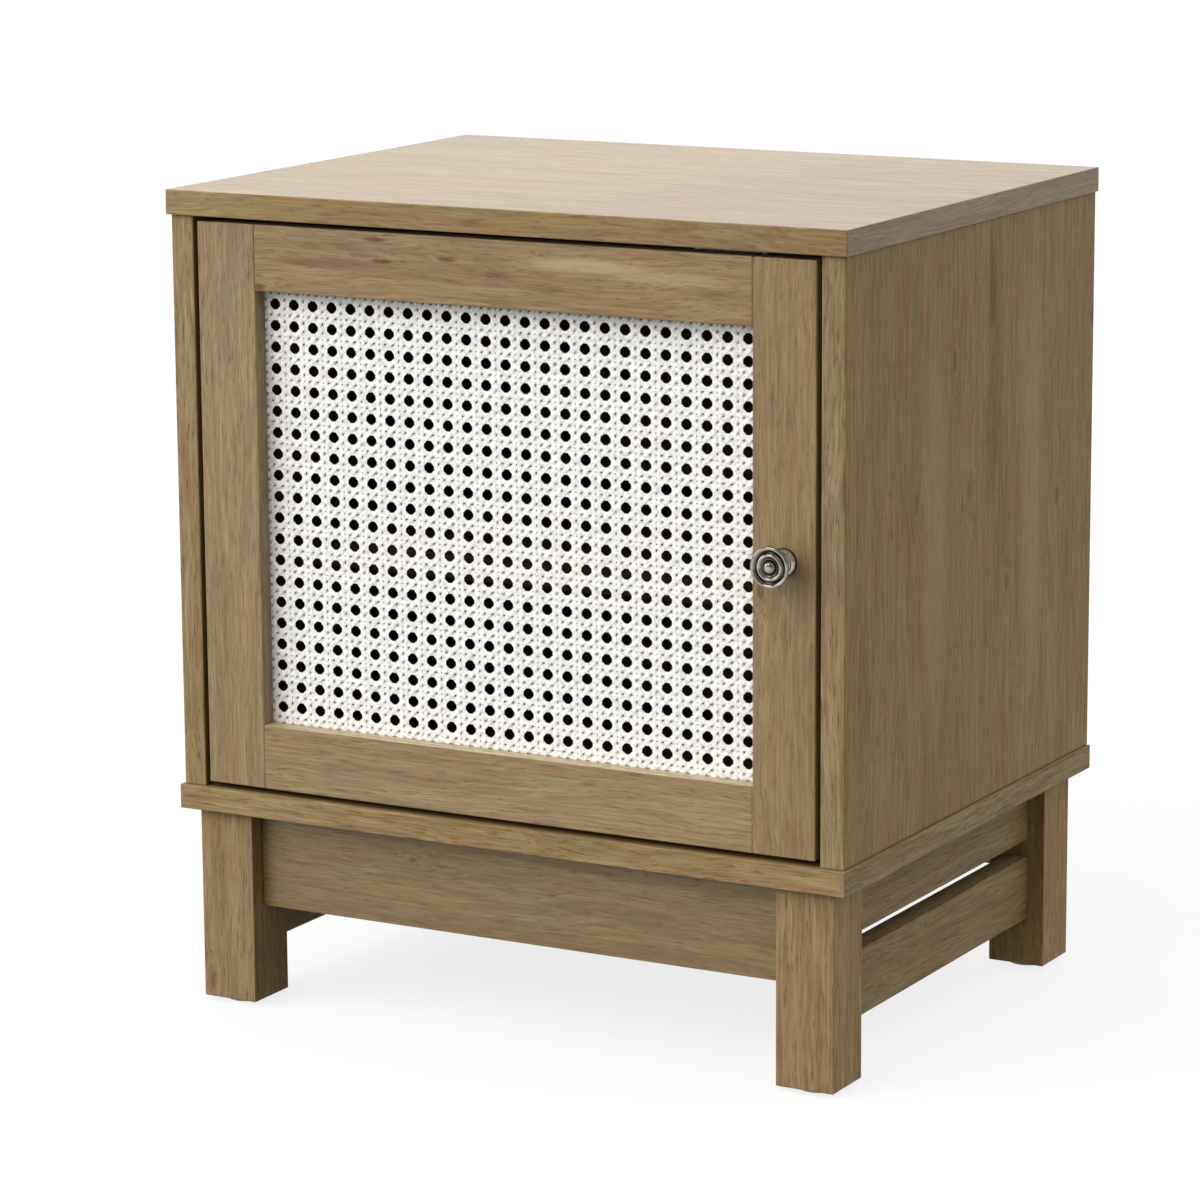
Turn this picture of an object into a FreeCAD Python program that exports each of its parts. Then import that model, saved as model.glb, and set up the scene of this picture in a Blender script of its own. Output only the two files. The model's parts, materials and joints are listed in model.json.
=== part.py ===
import FreeCAD, Part
import math
import os
import re
import Sketcher
from FreeCAD import Placement, Rotation, Vector

# Storage side table: an oak-effect cabinet with one inset cane door, on a base of four square legs.
# Millimetres. X runs to the right, Y from the front to the back, Z up. The origin lies on the floor,
# below the middle of the whole table with its knob.

doc = FreeCAD.newDocument("storage_side_table")

# Driving dimensions
SIZES = [
    ("table_width", "450", "top panel, side to side"),
    ("table_depth", "350", "top panel, front to back"),
    ("table_height", "500", "floor to the top face"),
    ("board_thickness", "15", "top, bottom and side panels"),
    ("side_overhang", "2", "top and bottom panels past the side panels"),
    ("front_overhang", "3", "top and bottom panels past the door front"),
    ("edge_easing", "0.8", "rounding of every board edge"),
    ("base_height", "122", "floor to the underside of the bottom panel"),
    ("leg_width", "37", "square leg, across the flats"),
    ("leg_side_inset", "10", "leg behind the bottom panel's side edge"),
    ("leg_front_inset", "7", "leg behind the bottom panel's front edge"),
    ("leg_rear_inset", "10", "leg before the bottom panel's rear edge"),
    ("apron_height", "60", "front and rear aprons"),
    ("apron_thickness", "15", "front and rear aprons"),
    ("rail_thickness", "15", "side rails"),
    ("upper_rail_height", "38", "side rail below the bottom panel"),
    ("rail_slot", "11", "open slot between the side rails"),
    ("lower_rail_height", "40", "side rail below the slot"),
    ("glide_height", "3", "foot glide below the leg"),
    ("glide_diameter", "26", "foot glide where it meets the leg"),
    ("glide_taper", "1.5", "foot glide, smaller in radius at the floor"),
    ("nail_diameter", "2.5", "nail of the foot glide"),
    ("nail_length", "16", "nail of the foot glide, inside the leg"),
    ("back_thickness", "3", "back panel"),
    ("back_setback", "8", "back panel before the rear edges"),
    ("groove_depth", "6", "groove for the back panel"),
    ("groove_clearance", "0.2", "back panel in its groove, on each face"),
    ("shelf_level", "150", "shelf top above the bottom panel"),
    ("shelf_thickness", "15", "shelf"),
    ("shelf_side_clearance", "0.5", "shelf to each side panel"),
    ("shelf_setback", "25", "shelf front behind the door back"),
    ("shelf_rear_clearance", "0.5", "shelf to the back panel"),
    ("shelf_pin_diameter", "5", "shelf pin"),
    ("shelf_pin_depth", "10", "shelf pin inside the side panel"),
    ("shelf_pin_reach", "8", "shelf pin under the shelf"),
    ("shelf_pin_inset", "40", "shelf pin from the shelf's front and rear edges"),
    ("fit_clearance", "0.1", "pins, dowels, cams and screws in their holes, in radius"),
    ("hole_end_clearance", "0.5", "hole past the end of its pin or dowel"),
    ("dowel_diameter", "8", "dowels of the carcass and the base"),
    ("dowel_length", "24", "dowels of the carcass and the base"),
    ("dowel_edge", "11", "base dowel from the edge of its rail or apron"),
    ("cam_diameter", "15", "cam disc"),
    ("cam_depth", "12", "cam disc in the side panel"),
    ("cam_distance", "30", "cam centre from the end of the side panel"),
    ("cam_setback", "50", "cam from the front and rear edges of the side panel"),
    ("cam_dowel_spacing", "35", "carcass dowel from the cam beside it"),
    ("bolt_diameter", "5", "cam bolt shank"),
    ("bolt_head_diameter", "6.6", "cam bolt head and thread"),
    ("bolt_head_length", "4", "cam bolt head"),
    ("bolt_thread_length", "11", "cam bolt thread in the top or bottom panel"),
    ("base_screw_diameter", "5", "screw from the bottom panel into a leg"),
    ("base_screw_length", "48", "screw from the bottom panel into a leg"),
    ("base_screw_head", "10", "countersunk head of that screw"),
    ("base_screw_sink", "3", "height of that head"),
    ("door_gap", "3.2", "gap all round the door"),
    ("door_thickness", "15", "door frame"),
    ("stile_width", "39.8", "upright members of the door frame"),
    ("door_rail_height", "39.3", "level members of the door frame"),
    ("door_dowel_diameter", "6", "dowels of the door frame"),
    ("door_dowel_edge", "12", "door dowel from the edge of its rail"),
    ("rebate_width", "8", "rebate for the cane, from the inner edge of the frame"),
    ("rebate_depth", "4.5", "rebate for the cane, from the door back"),
    ("cane_clearance", "0.2", "cane and its stops to the rebate wall"),
    ("cane_thickness", "1.2", "cane webbing"),
    ("cane_pitch", "17", "spacing of the holes in the net"),
    ("cane_hole", "9.5", "eight-sided hole in the net, across the flats"),
    ("cane_border", "4", "least web between the holes and the frame"),
    ("knob_diameter", "24", "front disc of the knob"),
    ("knob_projection", "20", "knob before the door front"),
    ("knob_disc_thickness", "3", "front disc of the knob"),
    ("knob_flare", "6", "taper behind the front disc"),
    ("knob_neck_diameter", "10.5", "neck of the knob"),
    ("knob_base_diameter", "16.6", "foot of the knob on the stile"),
    ("knob_base_height", "5", "taper of the knob's foot"),
    ("knob_ring_diameter", "17", "outer ring groove in the disc"),
    ("knob_button_diameter", "8", "inner ring groove in the disc"),
    ("knob_groove", "1.1", "ring grooves, in section radius"),
    ("knob_screw_diameter", "4", "screw of the knob"),
    ("knob_screw_length", "26", "screw of the knob below its head"),
    ("knob_screw_head", "8", "head of that screw"),
    ("screw_head_height", "2", "pan heads on the back of the door and on the fittings"),
    ("hinge_end_distance", "80", "hinge from the end of the door"),
    ("pin_edge_distance", "15", "hinge pin from the door's hinge edge"),
    ("pin_front_distance", "7.5", "hinge pin behind the door front"),
    ("pin_diameter", "2.5", "hinge pin"),
    ("pin_clearance", "0.05", "hinge pin in its knuckle, in radius"),
    ("cup_diameter", "28", "hinge cup"),
    ("cup_tab", "3", "wood between the cup and the door's hinge edge"),
    ("cup_depth", "11.5", "hinge cup below the door back"),
    ("cup_wall", "0.9", "hinge cup sheet"),
    ("flange_thickness", "1.2", "hinge cup flange on the door back"),
    ("flange_rim", "1", "hinge cup flange past the cup"),
    ("ear_height", "50", "hinge cup flange, end to end of its ears"),
    ("ear_width", "12", "hinge cup ears"),
    ("ear_offset", "4", "hinge cup ears past the cup centre, away from the hinge edge"),
    ("ear_screw_spacing", "40", "screws of the hinge cup"),
    ("knuckle_diameter", "5", "knuckle of the hinge arm"),
    ("knuckle_height", "20", "knuckle of the hinge arm"),
    ("arm_thickness", "2.4", "hinge arm strap"),
    ("arm_height", "9", "hinge arm strap"),
    ("arm_clearance", "0.85", "hinge arm round the corner of the door"),
    ("arm_exit_angle", "38", "hinge arm as it leaves the pin, from the door face, in degrees"),
    ("arm_leg_length", "44", "hinge arm along the side panel"),
    ("plate_thickness", "2.5", "mounting plate"),
    ("plate_length", "32", "mounting plate, front to back"),
    ("plate_height", "44", "mounting plate"),
    ("plate_setback", "4", "mounting plate behind the bow of the arm"),
    ("plate_screw_spacing", "32", "screws of the mounting plate"),
    ("fitting_screw_diameter", "3.5", "screws of the hinges and the catch"),
    ("fitting_screw_length", "11", "those screws below their fitting"),
    ("fitting_screw_head", "6.5", "heads of those screws"),
    ("catch_offset", "62", "catch centre from the door's knob edge"),
    ("catch_length", "46", "catch housing, side to side"),
    ("catch_depth", "14", "catch housing, front to back"),
    ("catch_height", "12", "catch housing below the top panel"),
    ("catch_ear", "9", "screw ear at each end of the catch housing"),
    ("catch_ear_thickness", "4", "screw ear of the catch housing"),
    ("catch_gap", "0.3", "magnet to strike plate"),
    ("magnet_length", "24", "magnet of the catch"),
    ("magnet_height", "7", "magnet of the catch"),
    ("magnet_depth", "11", "magnet of the catch"),
    ("magnet_floor", "1", "housing wall below the magnet"),
    ("strike_length", "38", "strike plate"),
    ("strike_height", "9", "strike plate"),
    ("strike_thickness", "1.5", "strike plate"),
    ("strike_screw_spacing", "26", "countersunk screws of the strike plate"),
]

# Places that follow from the driving dimensions
LAYOUT = [
    ("knob_reach", "knob_projection - front_overhang"),
    ("top_front", "knob_reach - (table_depth + knob_reach) / 2"),
    ("top_rear", "top_front + table_depth"),
    ("half_width", "table_width / 2"),
    ("side_outer", "half_width - side_overhang"),
    ("side_inner", "side_outer - board_thickness"),
    ("side_middle", "side_outer - board_thickness / 2"),
    ("carcass_front", "top_front + front_overhang"),
    ("bottom_top", "base_height + board_thickness"),
    ("top_under", "table_height - board_thickness"),
    ("back_rear", "top_rear - back_setback"),
    ("back_front", "back_rear - back_thickness"),
    ("back_reach", "groove_depth - groove_clearance"),
    ("door_back", "carcass_front + door_thickness"),
    ("door_middle", "carcass_front + door_thickness / 2"),
    ("door_half", "side_inner - door_gap"),
    ("door_bottom", "bottom_top + door_gap"),
    ("door_top", "top_under - door_gap"),
    ("window_half", "door_half - stile_width"),
    ("window_bottom", "door_bottom + door_rail_height"),
    ("window_top", "door_top - door_rail_height"),
    ("cane_front", "door_back - rebate_depth"),
    ("cane_back", "cane_front + cane_thickness"),
    ("cane_reach", "rebate_width - cane_clearance"),
    ("shelf_top", "bottom_top + shelf_level"),
    ("shelf_front", "door_back + shelf_setback"),
    ("shelf_rear", "back_front - shelf_rear_clearance"),
    ("leg_outer", "half_width - leg_side_inset"),
    ("leg_inner", "leg_outer - leg_width"),
    ("leg_middle", "leg_outer - leg_width / 2"),
    ("front_leg", "top_front + leg_front_inset"),
    ("rear_leg", "top_rear - leg_rear_inset - leg_width"),
    ("upper_rail_bottom", "base_height - upper_rail_height"),
    ("lower_rail_bottom", "upper_rail_bottom - rail_slot - lower_rail_height"),
    ("pin_across", "pin_edge_distance - door_half"),
    ("pin_back", "carcass_front + pin_front_distance"),
    ("cup_across", "cup_tab + cup_diameter / 2 - door_half"),
    ("cup_radius", "cup_diameter / 2"),
    ("cup_front", "door_back - cup_depth"),
    ("flange_back", "door_back + flange_thickness"),
    ("ear_across", "cup_across + ear_offset"),
    ("corner_back", "max(pin_front_distance; door_thickness - pin_front_distance)"),
    ("arm_inside", "sqrt(pin_edge_distance ^ 2 + corner_back ^ 2) + arm_clearance"),
    ("arm_outside", "arm_inside + arm_thickness"),
    ("bow_front", "pin_back + arm_inside"),
    ("plate_face", "plate_thickness - side_inner"),
    ("plate_front", "bow_front + arm_thickness + plate_setback"),
    ("strike_back", "door_back + strike_thickness"),
    ("catch_front", "strike_back + catch_gap"),
    ("catch_across", "door_half - catch_offset"),
    ("catch_bottom", "top_under - catch_height"),
    ("ear_under", "top_under - catch_ear_thickness"),
    ("strike_middle", "catch_bottom + magnet_floor + magnet_height / 2"),
    ("knob_across", "door_half - stile_width / 2"),
    ("door_mid_height", "(door_bottom + door_top) / 2"),
    ("disc_back", "knob_projection - knob_disc_thickness"),
]

SIZE_NAMES = {row[0] for row in SIZES}
PLACE_NAMES = {row[0] for row in LAYOUT}


def bound(text):
    """Turns plain size and place names into references to their sheet cells."""

    def qualify(match):
        word = match.group(0)
        if word in SIZE_NAMES:
            return "Sizes." + word
        if word in PLACE_NAMES:
            return "Layout." + word
        return word

    return re.sub(r"[a-z_]+", qualify, text)


def fill_sheets():
    sizes = doc.addObject("Spreadsheet::Sheet", "Sizes")
    for line, (alias, value, meaning) in enumerate(SIZES, 1):
        sizes.set("A%d" % line, meaning)
        sizes.set("B%d" % line, value)
        sizes.setAlias("B%d" % line, alias)
    doc.recompute()
    layout = doc.addObject("Spreadsheet::Sheet", "Layout")
    for line, (alias, formula) in enumerate(LAYOUT, 1):
        layout.setAlias("B%d" % line, alias)
        layout.set("A%d" % line, alias.replace("_", " "))
        layout.set("B%d" % line, "=" + bound(formula).replace("Layout.", ""))
    doc.recompute()
    return sizes, layout


sizes, layout = fill_sheets()
nodes = {}


def value(name):
    """The present number of a size or a place."""
    sheet = sizes if name in SIZE_NAMES else layout
    return float(sheet.get(name))


def bind(item, prop, text):
    item.setExpression(prop, bound(text))


def place(item, x, y, z):
    bind(item, "Placement.Base.x", x)
    bind(item, "Placement.Base.y", y)
    bind(item, "Placement.Base.z", z)


def node(item, name):
    """Marks an object as a finished sub-part, which is written under this name."""
    item.Label = name
    nodes[name] = item
    return item


def block(name, corner, size):
    item = doc.addObject("Part::Box", name)
    for prop, text in zip(("Length", "Width", "Height"), size):
        bind(item, prop, text)
    place(item, *corner)
    return item


def rod(name, start, direction, radius, length):
    item = doc.addObject("Part::Cylinder", name)
    item.Placement = Placement(Vector(), Rotation(Vector(0, 0, 1), Vector(*direction)))
    bind(item, "Radius", radius)
    bind(item, "Height", length)
    place(item, *start)
    return item


def cone(name, start, direction, first_radius, last_radius, length):
    item = doc.addObject("Part::Cone", name)
    item.Placement = Placement(Vector(), Rotation(Vector(0, 0, 1), Vector(*direction)))
    bind(item, "Radius1", first_radius)
    bind(item, "Radius2", last_radius)
    bind(item, "Height", length)
    place(item, *start)
    return item


def fused(name, pieces):
    item = doc.addObject("Part::MultiFuse", name)
    item.Shapes = pieces
    return item


def group(name, pieces):
    item = doc.addObject("Part::Compound", name)
    item.Links = pieces
    return item


def cut(name, blank, tools):
    item = doc.addObject("Part::Cut", name)
    item.Base = blank
    item.Tool = tools[0] if len(tools) == 1 else group(name + "_cuts", tools)
    return item


def plane_of(body, role):
    return [item for item in body.Origin.OriginFeatures if item.Role == role][0]


def board(name, corner, size):
    """A board padded from its rectangle, with all its edges eased."""
    body = doc.addObject("PartDesign::Body", name + "_blank")
    outline = body.newObject("Sketcher::SketchObject", name + "_outline")
    outline.AttachmentSupport = [(plane_of(body, "XY_Plane"), "")]
    outline.MapMode = "FlatFace"
    corners = [Vector(0, 0, 0), Vector(10, 0, 0), Vector(10, 10, 0), Vector(0, 10, 0)]
    start_point = 1
    end_point = 2
    for index in range(4):
        outline.addGeometry(Part.LineSegment(corners[index], corners[(index + 1) % 4]))
    for index in range(4):
        outline.addConstraint(
            Sketcher.Constraint("Coincident", index, end_point, (index + 1) % 4, start_point)
        )
    origin_axis = -1
    outline.addConstraint(Sketcher.Constraint("Coincident", 0, start_point, origin_axis, start_point))
    for index in (0, 2):
        outline.addConstraint(Sketcher.Constraint("Horizontal", index))
    for index in (1, 3):
        outline.addConstraint(Sketcher.Constraint("Vertical", index))
    for index, side in ((0, "along"), (1, "across")):
        spot = outline.addConstraint(
            Sketcher.Constraint("Distance", index, corners[1].x)
        )
        outline.renameConstraint(spot, side)
    bind(outline, "Constraints.along", size[0])
    bind(outline, "Constraints.across", size[1])
    pad = body.newObject("PartDesign::Pad", name + "_pad")
    pad.Profile = outline
    bind(pad, "Length", size[2])
    doc.recompute()
    eased = body.newObject("PartDesign::Fillet", name + "_eased")
    eased.Base = (pad, ["Edge%d" % (index + 1) for index in range(len(pad.Shape.Edges))])
    bind(eased, "Radius", "edge_easing")
    body.Tip = eased
    place(body, *corner)
    return body


def dowel(name, middle, direction, diameter):
    """A dowel centred on a joint, and the hole that it fills on both sides of that joint."""
    half = "dowel_length / 2"
    start = [
        "%s - %d * (%s)" % (middle[axis], direction[axis], half) for axis in range(3)
    ]
    mouth = [
        "%s - %d * (%s + hole_end_clearance)" % (middle[axis], direction[axis], half)
        for axis in range(3)
    ]
    peg = rod(name, start, direction, diameter + " / 2", "dowel_length")
    hole = rod(
        name + "_hole",
        mouth,
        direction,
        diameter + " / 2 + fit_clearance",
        "dowel_length + 2 * hole_end_clearance",
    )
    return peg, hole


def moved(start, direction, distance):
    """The point at a distance along a row axis from a start point, as expressions."""
    return ["%s + %d * (%s)" % (start[axis], direction[axis], distance) for axis in range(3)]


def pan_screw(name, seat, direction, diameter, length, head):
    """A screw whose pan head stands on a seat, and the hole for its shank. It points along direction."""
    back = [-part for part in direction]
    shank = rod(name + "_shank", seat, direction, diameter + " / 2", length)
    crown = rod(name + "_crown", seat, back, head + " / 2", "screw_head_height")
    hole = rod(
        name + "_hole",
        seat,
        direction,
        diameter + " / 2 + fit_clearance",
        length + " + hole_end_clearance",
    )
    return fused(name, [crown, shank]), hole


def sunk_screw(name, seat, direction, diameter, length, head, sink):
    """A screw whose countersunk head lies flush with a seat, and the holes for its head and shank."""
    shapes = []
    for suffix, room in (("", "0"), ("_hole", "fit_clearance")):
        crown = cone(
            name + "_crown" + suffix,
            seat,
            direction,
            "%s / 2 + %s" % (head, room),
            "%s / 2 + %s" % (diameter, room),
            sink,
        )
        depth = length + " + hole_end_clearance" if suffix else length
        shank = rod(
            name + "_shank" + suffix, seat, direction, "%s / 2 + %s" % (diameter, room), depth
        )
        shapes.append((crown, shank))
    return fused(name, list(shapes[0])), shapes[1]


SIDES = (("left", -1), ("right", 1))
INTO_WIDTH = (1, 0, 0)
INTO_DEPTH = (0, 1, 0)
FORWARD = (0, -1, 0)
UP = (0, 0, 1)
DOWN = (0, 0, -1)

# Holes are gathered by the piece that they are cut from, and cut at the end
holes = {}


def drill(names, tool):
    for name in names:
        holes.setdefault(name, []).append(tool)


blanks = {}


# Carcass boards
def carcass_boards():
    full = ("table_width", "table_depth", "board_thickness")
    blanks["top_panel"] = board("top_panel", ("-half_width", "top_front", "top_under"), full)
    blanks["bottom_panel"] = board("bottom_panel", ("-half_width", "top_front", "base_height"), full)
    side_size = ("board_thickness", "top_rear - carcass_front", "top_under - bottom_top")
    for name, corner in (("left_side_panel", "-side_outer"), ("right_side_panel", "side_inner")):
        blanks[name] = board(name, (corner, "carcass_front", "bottom_top"), side_size)
    blanks["shelf"] = board(
        "shelf",
        ("shelf_side_clearance - side_inner", "shelf_front", "shelf_top - shelf_thickness"),
        ("2 * (side_inner - shelf_side_clearance)", "shelf_rear - shelf_front", "shelf_thickness"),
    )


def back_panel():
    panel = block(
        "back_board",
        ("-(side_inner + back_reach)", "back_front", "bottom_top - back_reach"),
        ("2 * (side_inner + back_reach)", "back_thickness", "top_under - bottom_top + 2 * back_reach"),
    )
    groove = block(
        "back_groove",
        ("-(side_inner + groove_depth)", "back_front - groove_clearance", "bottom_top - groove_depth"),
        (
            "2 * (side_inner + groove_depth)",
            "back_thickness + 2 * groove_clearance",
            "top_under - bottom_top + 2 * groove_depth",
        ),
    )
    drill(("top_panel", "bottom_panel", "left_side_panel", "right_side_panel"), groove)
    node(panel, "back_panel")


def shelf_pins():
    pins = []
    height = "shelf_top - shelf_thickness - shelf_pin_diameter / 2"
    for side_name, side in SIDES:
        for along in ("shelf_front + shelf_pin_inset", "shelf_rear - shelf_pin_inset"):
            start = ("%d * (side_inner - shelf_pin_reach)" % side, along, height)
            outward = (side, 0, 0)
            radius = "shelf_pin_diameter / 2"
            length = "shelf_pin_reach + shelf_pin_depth"
            pins.append(rod("shelf_pin", start, outward, radius, length))
            hole = rod(
                "shelf_pin_hole",
                start,
                outward,
                radius + " + fit_clearance",
                length + " + hole_end_clearance",
            )
            drill((side_name + "_side_panel",), hole)
    node(group("shelf_pin_set", pins), "shelf_pins")


def cam_fittings():
    """Cam discs in the side panels pull bolts in the top and bottom panels, with a dowel beside each."""
    discs = []
    bolts = []
    dowels = []
    ends = (("top_panel", "top_under", 1), ("bottom_panel", "bottom_top", -1))
    rows = (
        ("carcass_front + cam_setback", "cam_dowel_spacing"),
        ("top_rear - cam_setback", "-cam_dowel_spacing"),
    )
    for side_name, side in SIDES:
        panel = side_name + "_side_panel"
        across = "%d * side_middle" % side
        for end_panel, joint, up in ends:
            for along, spacing in rows:
                upward = (0, 0, up)
                centre = "%s - %d * cam_distance" % (joint, up)
                face = ("%d * side_inner" % side, along, centre)
                outward = (side, 0, 0)
                disc = rod("cam", face, outward, "cam_diameter / 2", "cam_depth")
                pocket = rod(
                    "cam_pocket",
                    face,
                    outward,
                    "cam_diameter / 2 + fit_clearance",
                    "cam_depth + fit_clearance",
                )
                head_start = (across, along, "%s - %d * bolt_head_length / 2" % (centre, up))
                head = rod("bolt_head", head_start, upward, "bolt_head_diameter / 2", "bolt_head_length")
                shank_start = (across, along, centre)
                shank = rod("bolt_shank", shank_start, upward, "bolt_diameter / 2", "cam_distance")
                thread_start = (across, along, joint)
                thread = rod(
                    "bolt_thread", thread_start, upward, "bolt_head_diameter / 2", "bolt_thread_length"
                )
                bolts.append(fused("bolt", [head, shank, thread]))
                tunnel_start = moved(head_start, (0, 0, -up), "hole_end_clearance")
                tunnel = rod(
                    "bolt_tunnel",
                    tunnel_start,
                    upward,
                    "bolt_head_diameter / 2 + fit_clearance",
                    "cam_distance + bolt_head_length / 2 + bolt_thread_length + 2 * hole_end_clearance",
                )
                discs.append(cut("cam_disc", disc, [tunnel]))
                drill((panel,), pocket)
                drill((panel, end_panel), tunnel)
                beside = "%s + %s" % (along, spacing)
                peg, hole = dowel("carcass_dowel", (across, beside, joint), UP, "dowel_diameter")
                dowels.append(peg)
                drill((panel, end_panel), hole)
    node(group("cam_disc_set", discs), "cam_discs")
    node(group("cam_bolt_set", bolts), "cam_bolts")
    node(group("carcass_dowel_set", dowels), "carcass_dowels")


# Base
def legs_and_glides():
    size = ("leg_width", "leg_width", "base_height - glide_height")
    screws = []
    for side_name, side in SIDES:
        corner = "leg_inner" if side > 0 else "-leg_outer"
        for end_name, front in (("front", "front_leg"), ("rear", "rear_leg")):
            name = "%s_%s" % (end_name, side_name)
            leg = name + "_leg"
            blanks[leg] = board(leg, (corner, front, "glide_height"), size)
            middle = ("%d * leg_middle" % side, front + " + leg_width / 2")
            pad = cone(
                "glide_pad",
                middle + ("0",),
                UP,
                "glide_diameter / 2 - glide_taper",
                "glide_diameter / 2",
                "glide_height",
            )
            nail_start = middle + ("glide_height / 2",)
            nail = rod(
                "glide_nail", nail_start, UP, "nail_diameter / 2", "nail_length + glide_height / 2"
            )
            nail_hole = rod(
                "glide_nail_hole",
                middle + ("0",),
                UP,
                "nail_diameter / 2 + fit_clearance",
                "glide_height + nail_length + hole_end_clearance",
            )
            node(fused("glide", [pad, nail]), name + "_glide")
            drill((leg,), nail_hole)
            seat = middle + ("bottom_top",)
            screw, (sinking, shank_hole) = sunk_screw(
                "base_screw",
                seat,
                DOWN,
                "base_screw_diameter",
                "base_screw_length",
                "base_screw_head",
                "base_screw_sink",
            )
            screws.append(screw)
            drill(("bottom_panel",), sinking)
            drill(("bottom_panel", leg), shank_hole)
    node(group("base_screw_set", screws), "base_screws")


def aprons_and_rails():
    dowels = []
    levels = ("base_height - apron_height + dowel_edge", "base_height - dowel_edge")
    for end_name, front in (("front", "front_leg"), ("rear", "rear_leg")):
        name = end_name + "_apron"
        middle = front + " + leg_width / 2"
        blanks[name] = board(
            name,
            ("-leg_inner", middle + " - apron_thickness / 2", "base_height - apron_height"),
            ("2 * leg_inner", "apron_thickness", "apron_height"),
        )
        for side_name, side in SIDES:
            leg = "%s_%s_leg" % (end_name, side_name)
            for level in levels:
                joint = ("%d * leg_inner" % side, middle, level)
                peg, hole = dowel("apron_dowel", joint, INTO_WIDTH, "dowel_diameter")
                dowels.append(peg)
                drill((name, leg), hole)
    rows = (
        ("upper", "upper_rail_bottom", "upper_rail_height"),
        ("lower", "lower_rail_bottom", "lower_rail_height"),
    )
    for side_name, side in SIDES:
        for row_name, bottom, height in rows:
            name = "%s_%s_rail" % (side_name, row_name)
            across = "%d * leg_middle" % side
            blanks[name] = board(
                name,
                (across + " - rail_thickness / 2", "front_leg + leg_width", bottom),
                ("rail_thickness", "rear_leg - front_leg - leg_width", height),
            )
            for end_name, along in (("front", "front_leg + leg_width"), ("rear", "rear_leg")):
                leg = "%s_%s_leg" % (end_name, side_name)
                for level in (bottom + " + dowel_edge", "%s + %s - dowel_edge" % (bottom, height)):
                    joint = (across, along, level)
                    peg, hole = dowel("rail_dowel", joint, INTO_DEPTH, "dowel_diameter")
                    dowels.append(peg)
                    drill((name, leg), hole)
    node(group("base_dowel_set", dowels), "base_dowels")


# Door
def door_frame():
    dowels = []
    upright = ("stile_width", "door_thickness", "door_top - door_bottom")
    level = ("2 * window_half", "door_thickness", "door_rail_height")
    blanks["hinge_stile"] = board("hinge_stile", ("-door_half", "carcass_front", "door_bottom"), upright)
    blanks["knob_stile"] = board("knob_stile", ("window_half", "carcass_front", "door_bottom"), upright)
    rails = (("door_top_rail", "window_top"), ("door_bottom_rail", "door_bottom"))
    for name, bottom in rails:
        blanks[name] = board(name, ("-window_half", "carcass_front", bottom), level)
        for stile, side in (("hinge_stile", -1), ("knob_stile", 1)):
            for height in ("door_dowel_edge", "door_rail_height - door_dowel_edge"):
                joint = ("%d * window_half" % side, "door_middle", bottom + " + " + height)
                peg, hole = dowel("frame_dowel", joint, INTO_WIDTH, "door_dowel_diameter")
                dowels.append(peg)
                drill((name, stile), hole)
    rebate = block(
        "cane_rebate",
        ("-(window_half + rebate_width)", "cane_front", "window_bottom - rebate_width"),
        (
            "2 * (window_half + rebate_width)",
            "rebate_depth + door_gap",
            "window_top - window_bottom + 2 * rebate_width",
        ),
    )
    drill(("hinge_stile", "knob_stile", "door_top_rail", "door_bottom_rail"), rebate)
    node(group("door_dowel_set", dowels), "door_dowels")


def cane_stops():
    depth = "door_back - cane_back"
    tall = ("cane_reach", depth, "window_top - window_bottom + 2 * cane_reach")
    for name, corner in (("hinge_side", "-(window_half + cane_reach)"), ("knob_side", "window_half")):
        strip = block(name + "_strip", (corner, "cane_back", "window_bottom - cane_reach"), tall)
        node(strip, name + "_cane_stop")
    wide = ("2 * window_half", depth, "cane_reach")
    for name, bottom in (("upper", "window_top"), ("lower", "window_bottom - cane_reach")):
        strip = block(name + "_strip", ("-window_half", "cane_back", bottom), wide)
        node(strip, name + "_cane_stop")


def octagon(across, up, flats):
    """The closed outline of an eight-sided hole, in the XZ plane."""
    corner_radius = flats / 2 / math.cos(math.pi / 8)
    points = []
    for index in range(8):
        turn = math.pi / 8 + index * math.pi / 4
        points.append(
            Vector(across + corner_radius * math.cos(turn), 0, up + corner_radius * math.sin(turn))
        )
    return Part.makePolygon(points + points[:1])


def row_places(span, pitch, hole, border):
    """Centres of as many holes as fit in a span with a border at each end, about its middle."""
    count = int((span - 2 * border - hole) // pitch) + 1
    return [pitch * (index - (count - 1) / 2) for index in range(count)]


def cane_panel():
    """The open net of the cane as one holed sheet. Its edge lies in the rebate, under the stops."""
    half_width = value("window_half") + value("cane_reach")
    low = value("window_bottom") - value("cane_reach")
    high = value("window_top") + value("cane_reach")
    middle = (low + high) / 2
    hole = value("cane_hole")
    pitch = value("cane_pitch")
    border = value("cane_border")
    window_height = value("window_top") - value("window_bottom")
    columns = row_places(2 * value("window_half"), pitch, hole, border)
    rows = row_places(window_height, pitch, hole, border)
    corners = [
        Vector(-half_width, 0, low),
        Vector(half_width, 0, low),
        Vector(half_width, 0, high),
        Vector(-half_width, 0, high),
    ]
    sheet = Part.Face(Part.makePolygon(corners + corners[:1]))
    wires = [octagon(across, middle + up, hole) for across in columns for up in rows]
    face = Part.Face([sheet.OuterWire] + wires)
    face.validate()
    net = doc.addObject("Part::Feature", "cane_net")
    net.Shape = face.extrude(Vector(0, value("cane_thickness"), 0))
    net.Placement = Placement(Vector(0, value("cane_front"), 0), Rotation())
    node(net, "cane_panel")
    print("cane net: %d by %d holes" % (len(columns), len(rows)))


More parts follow.
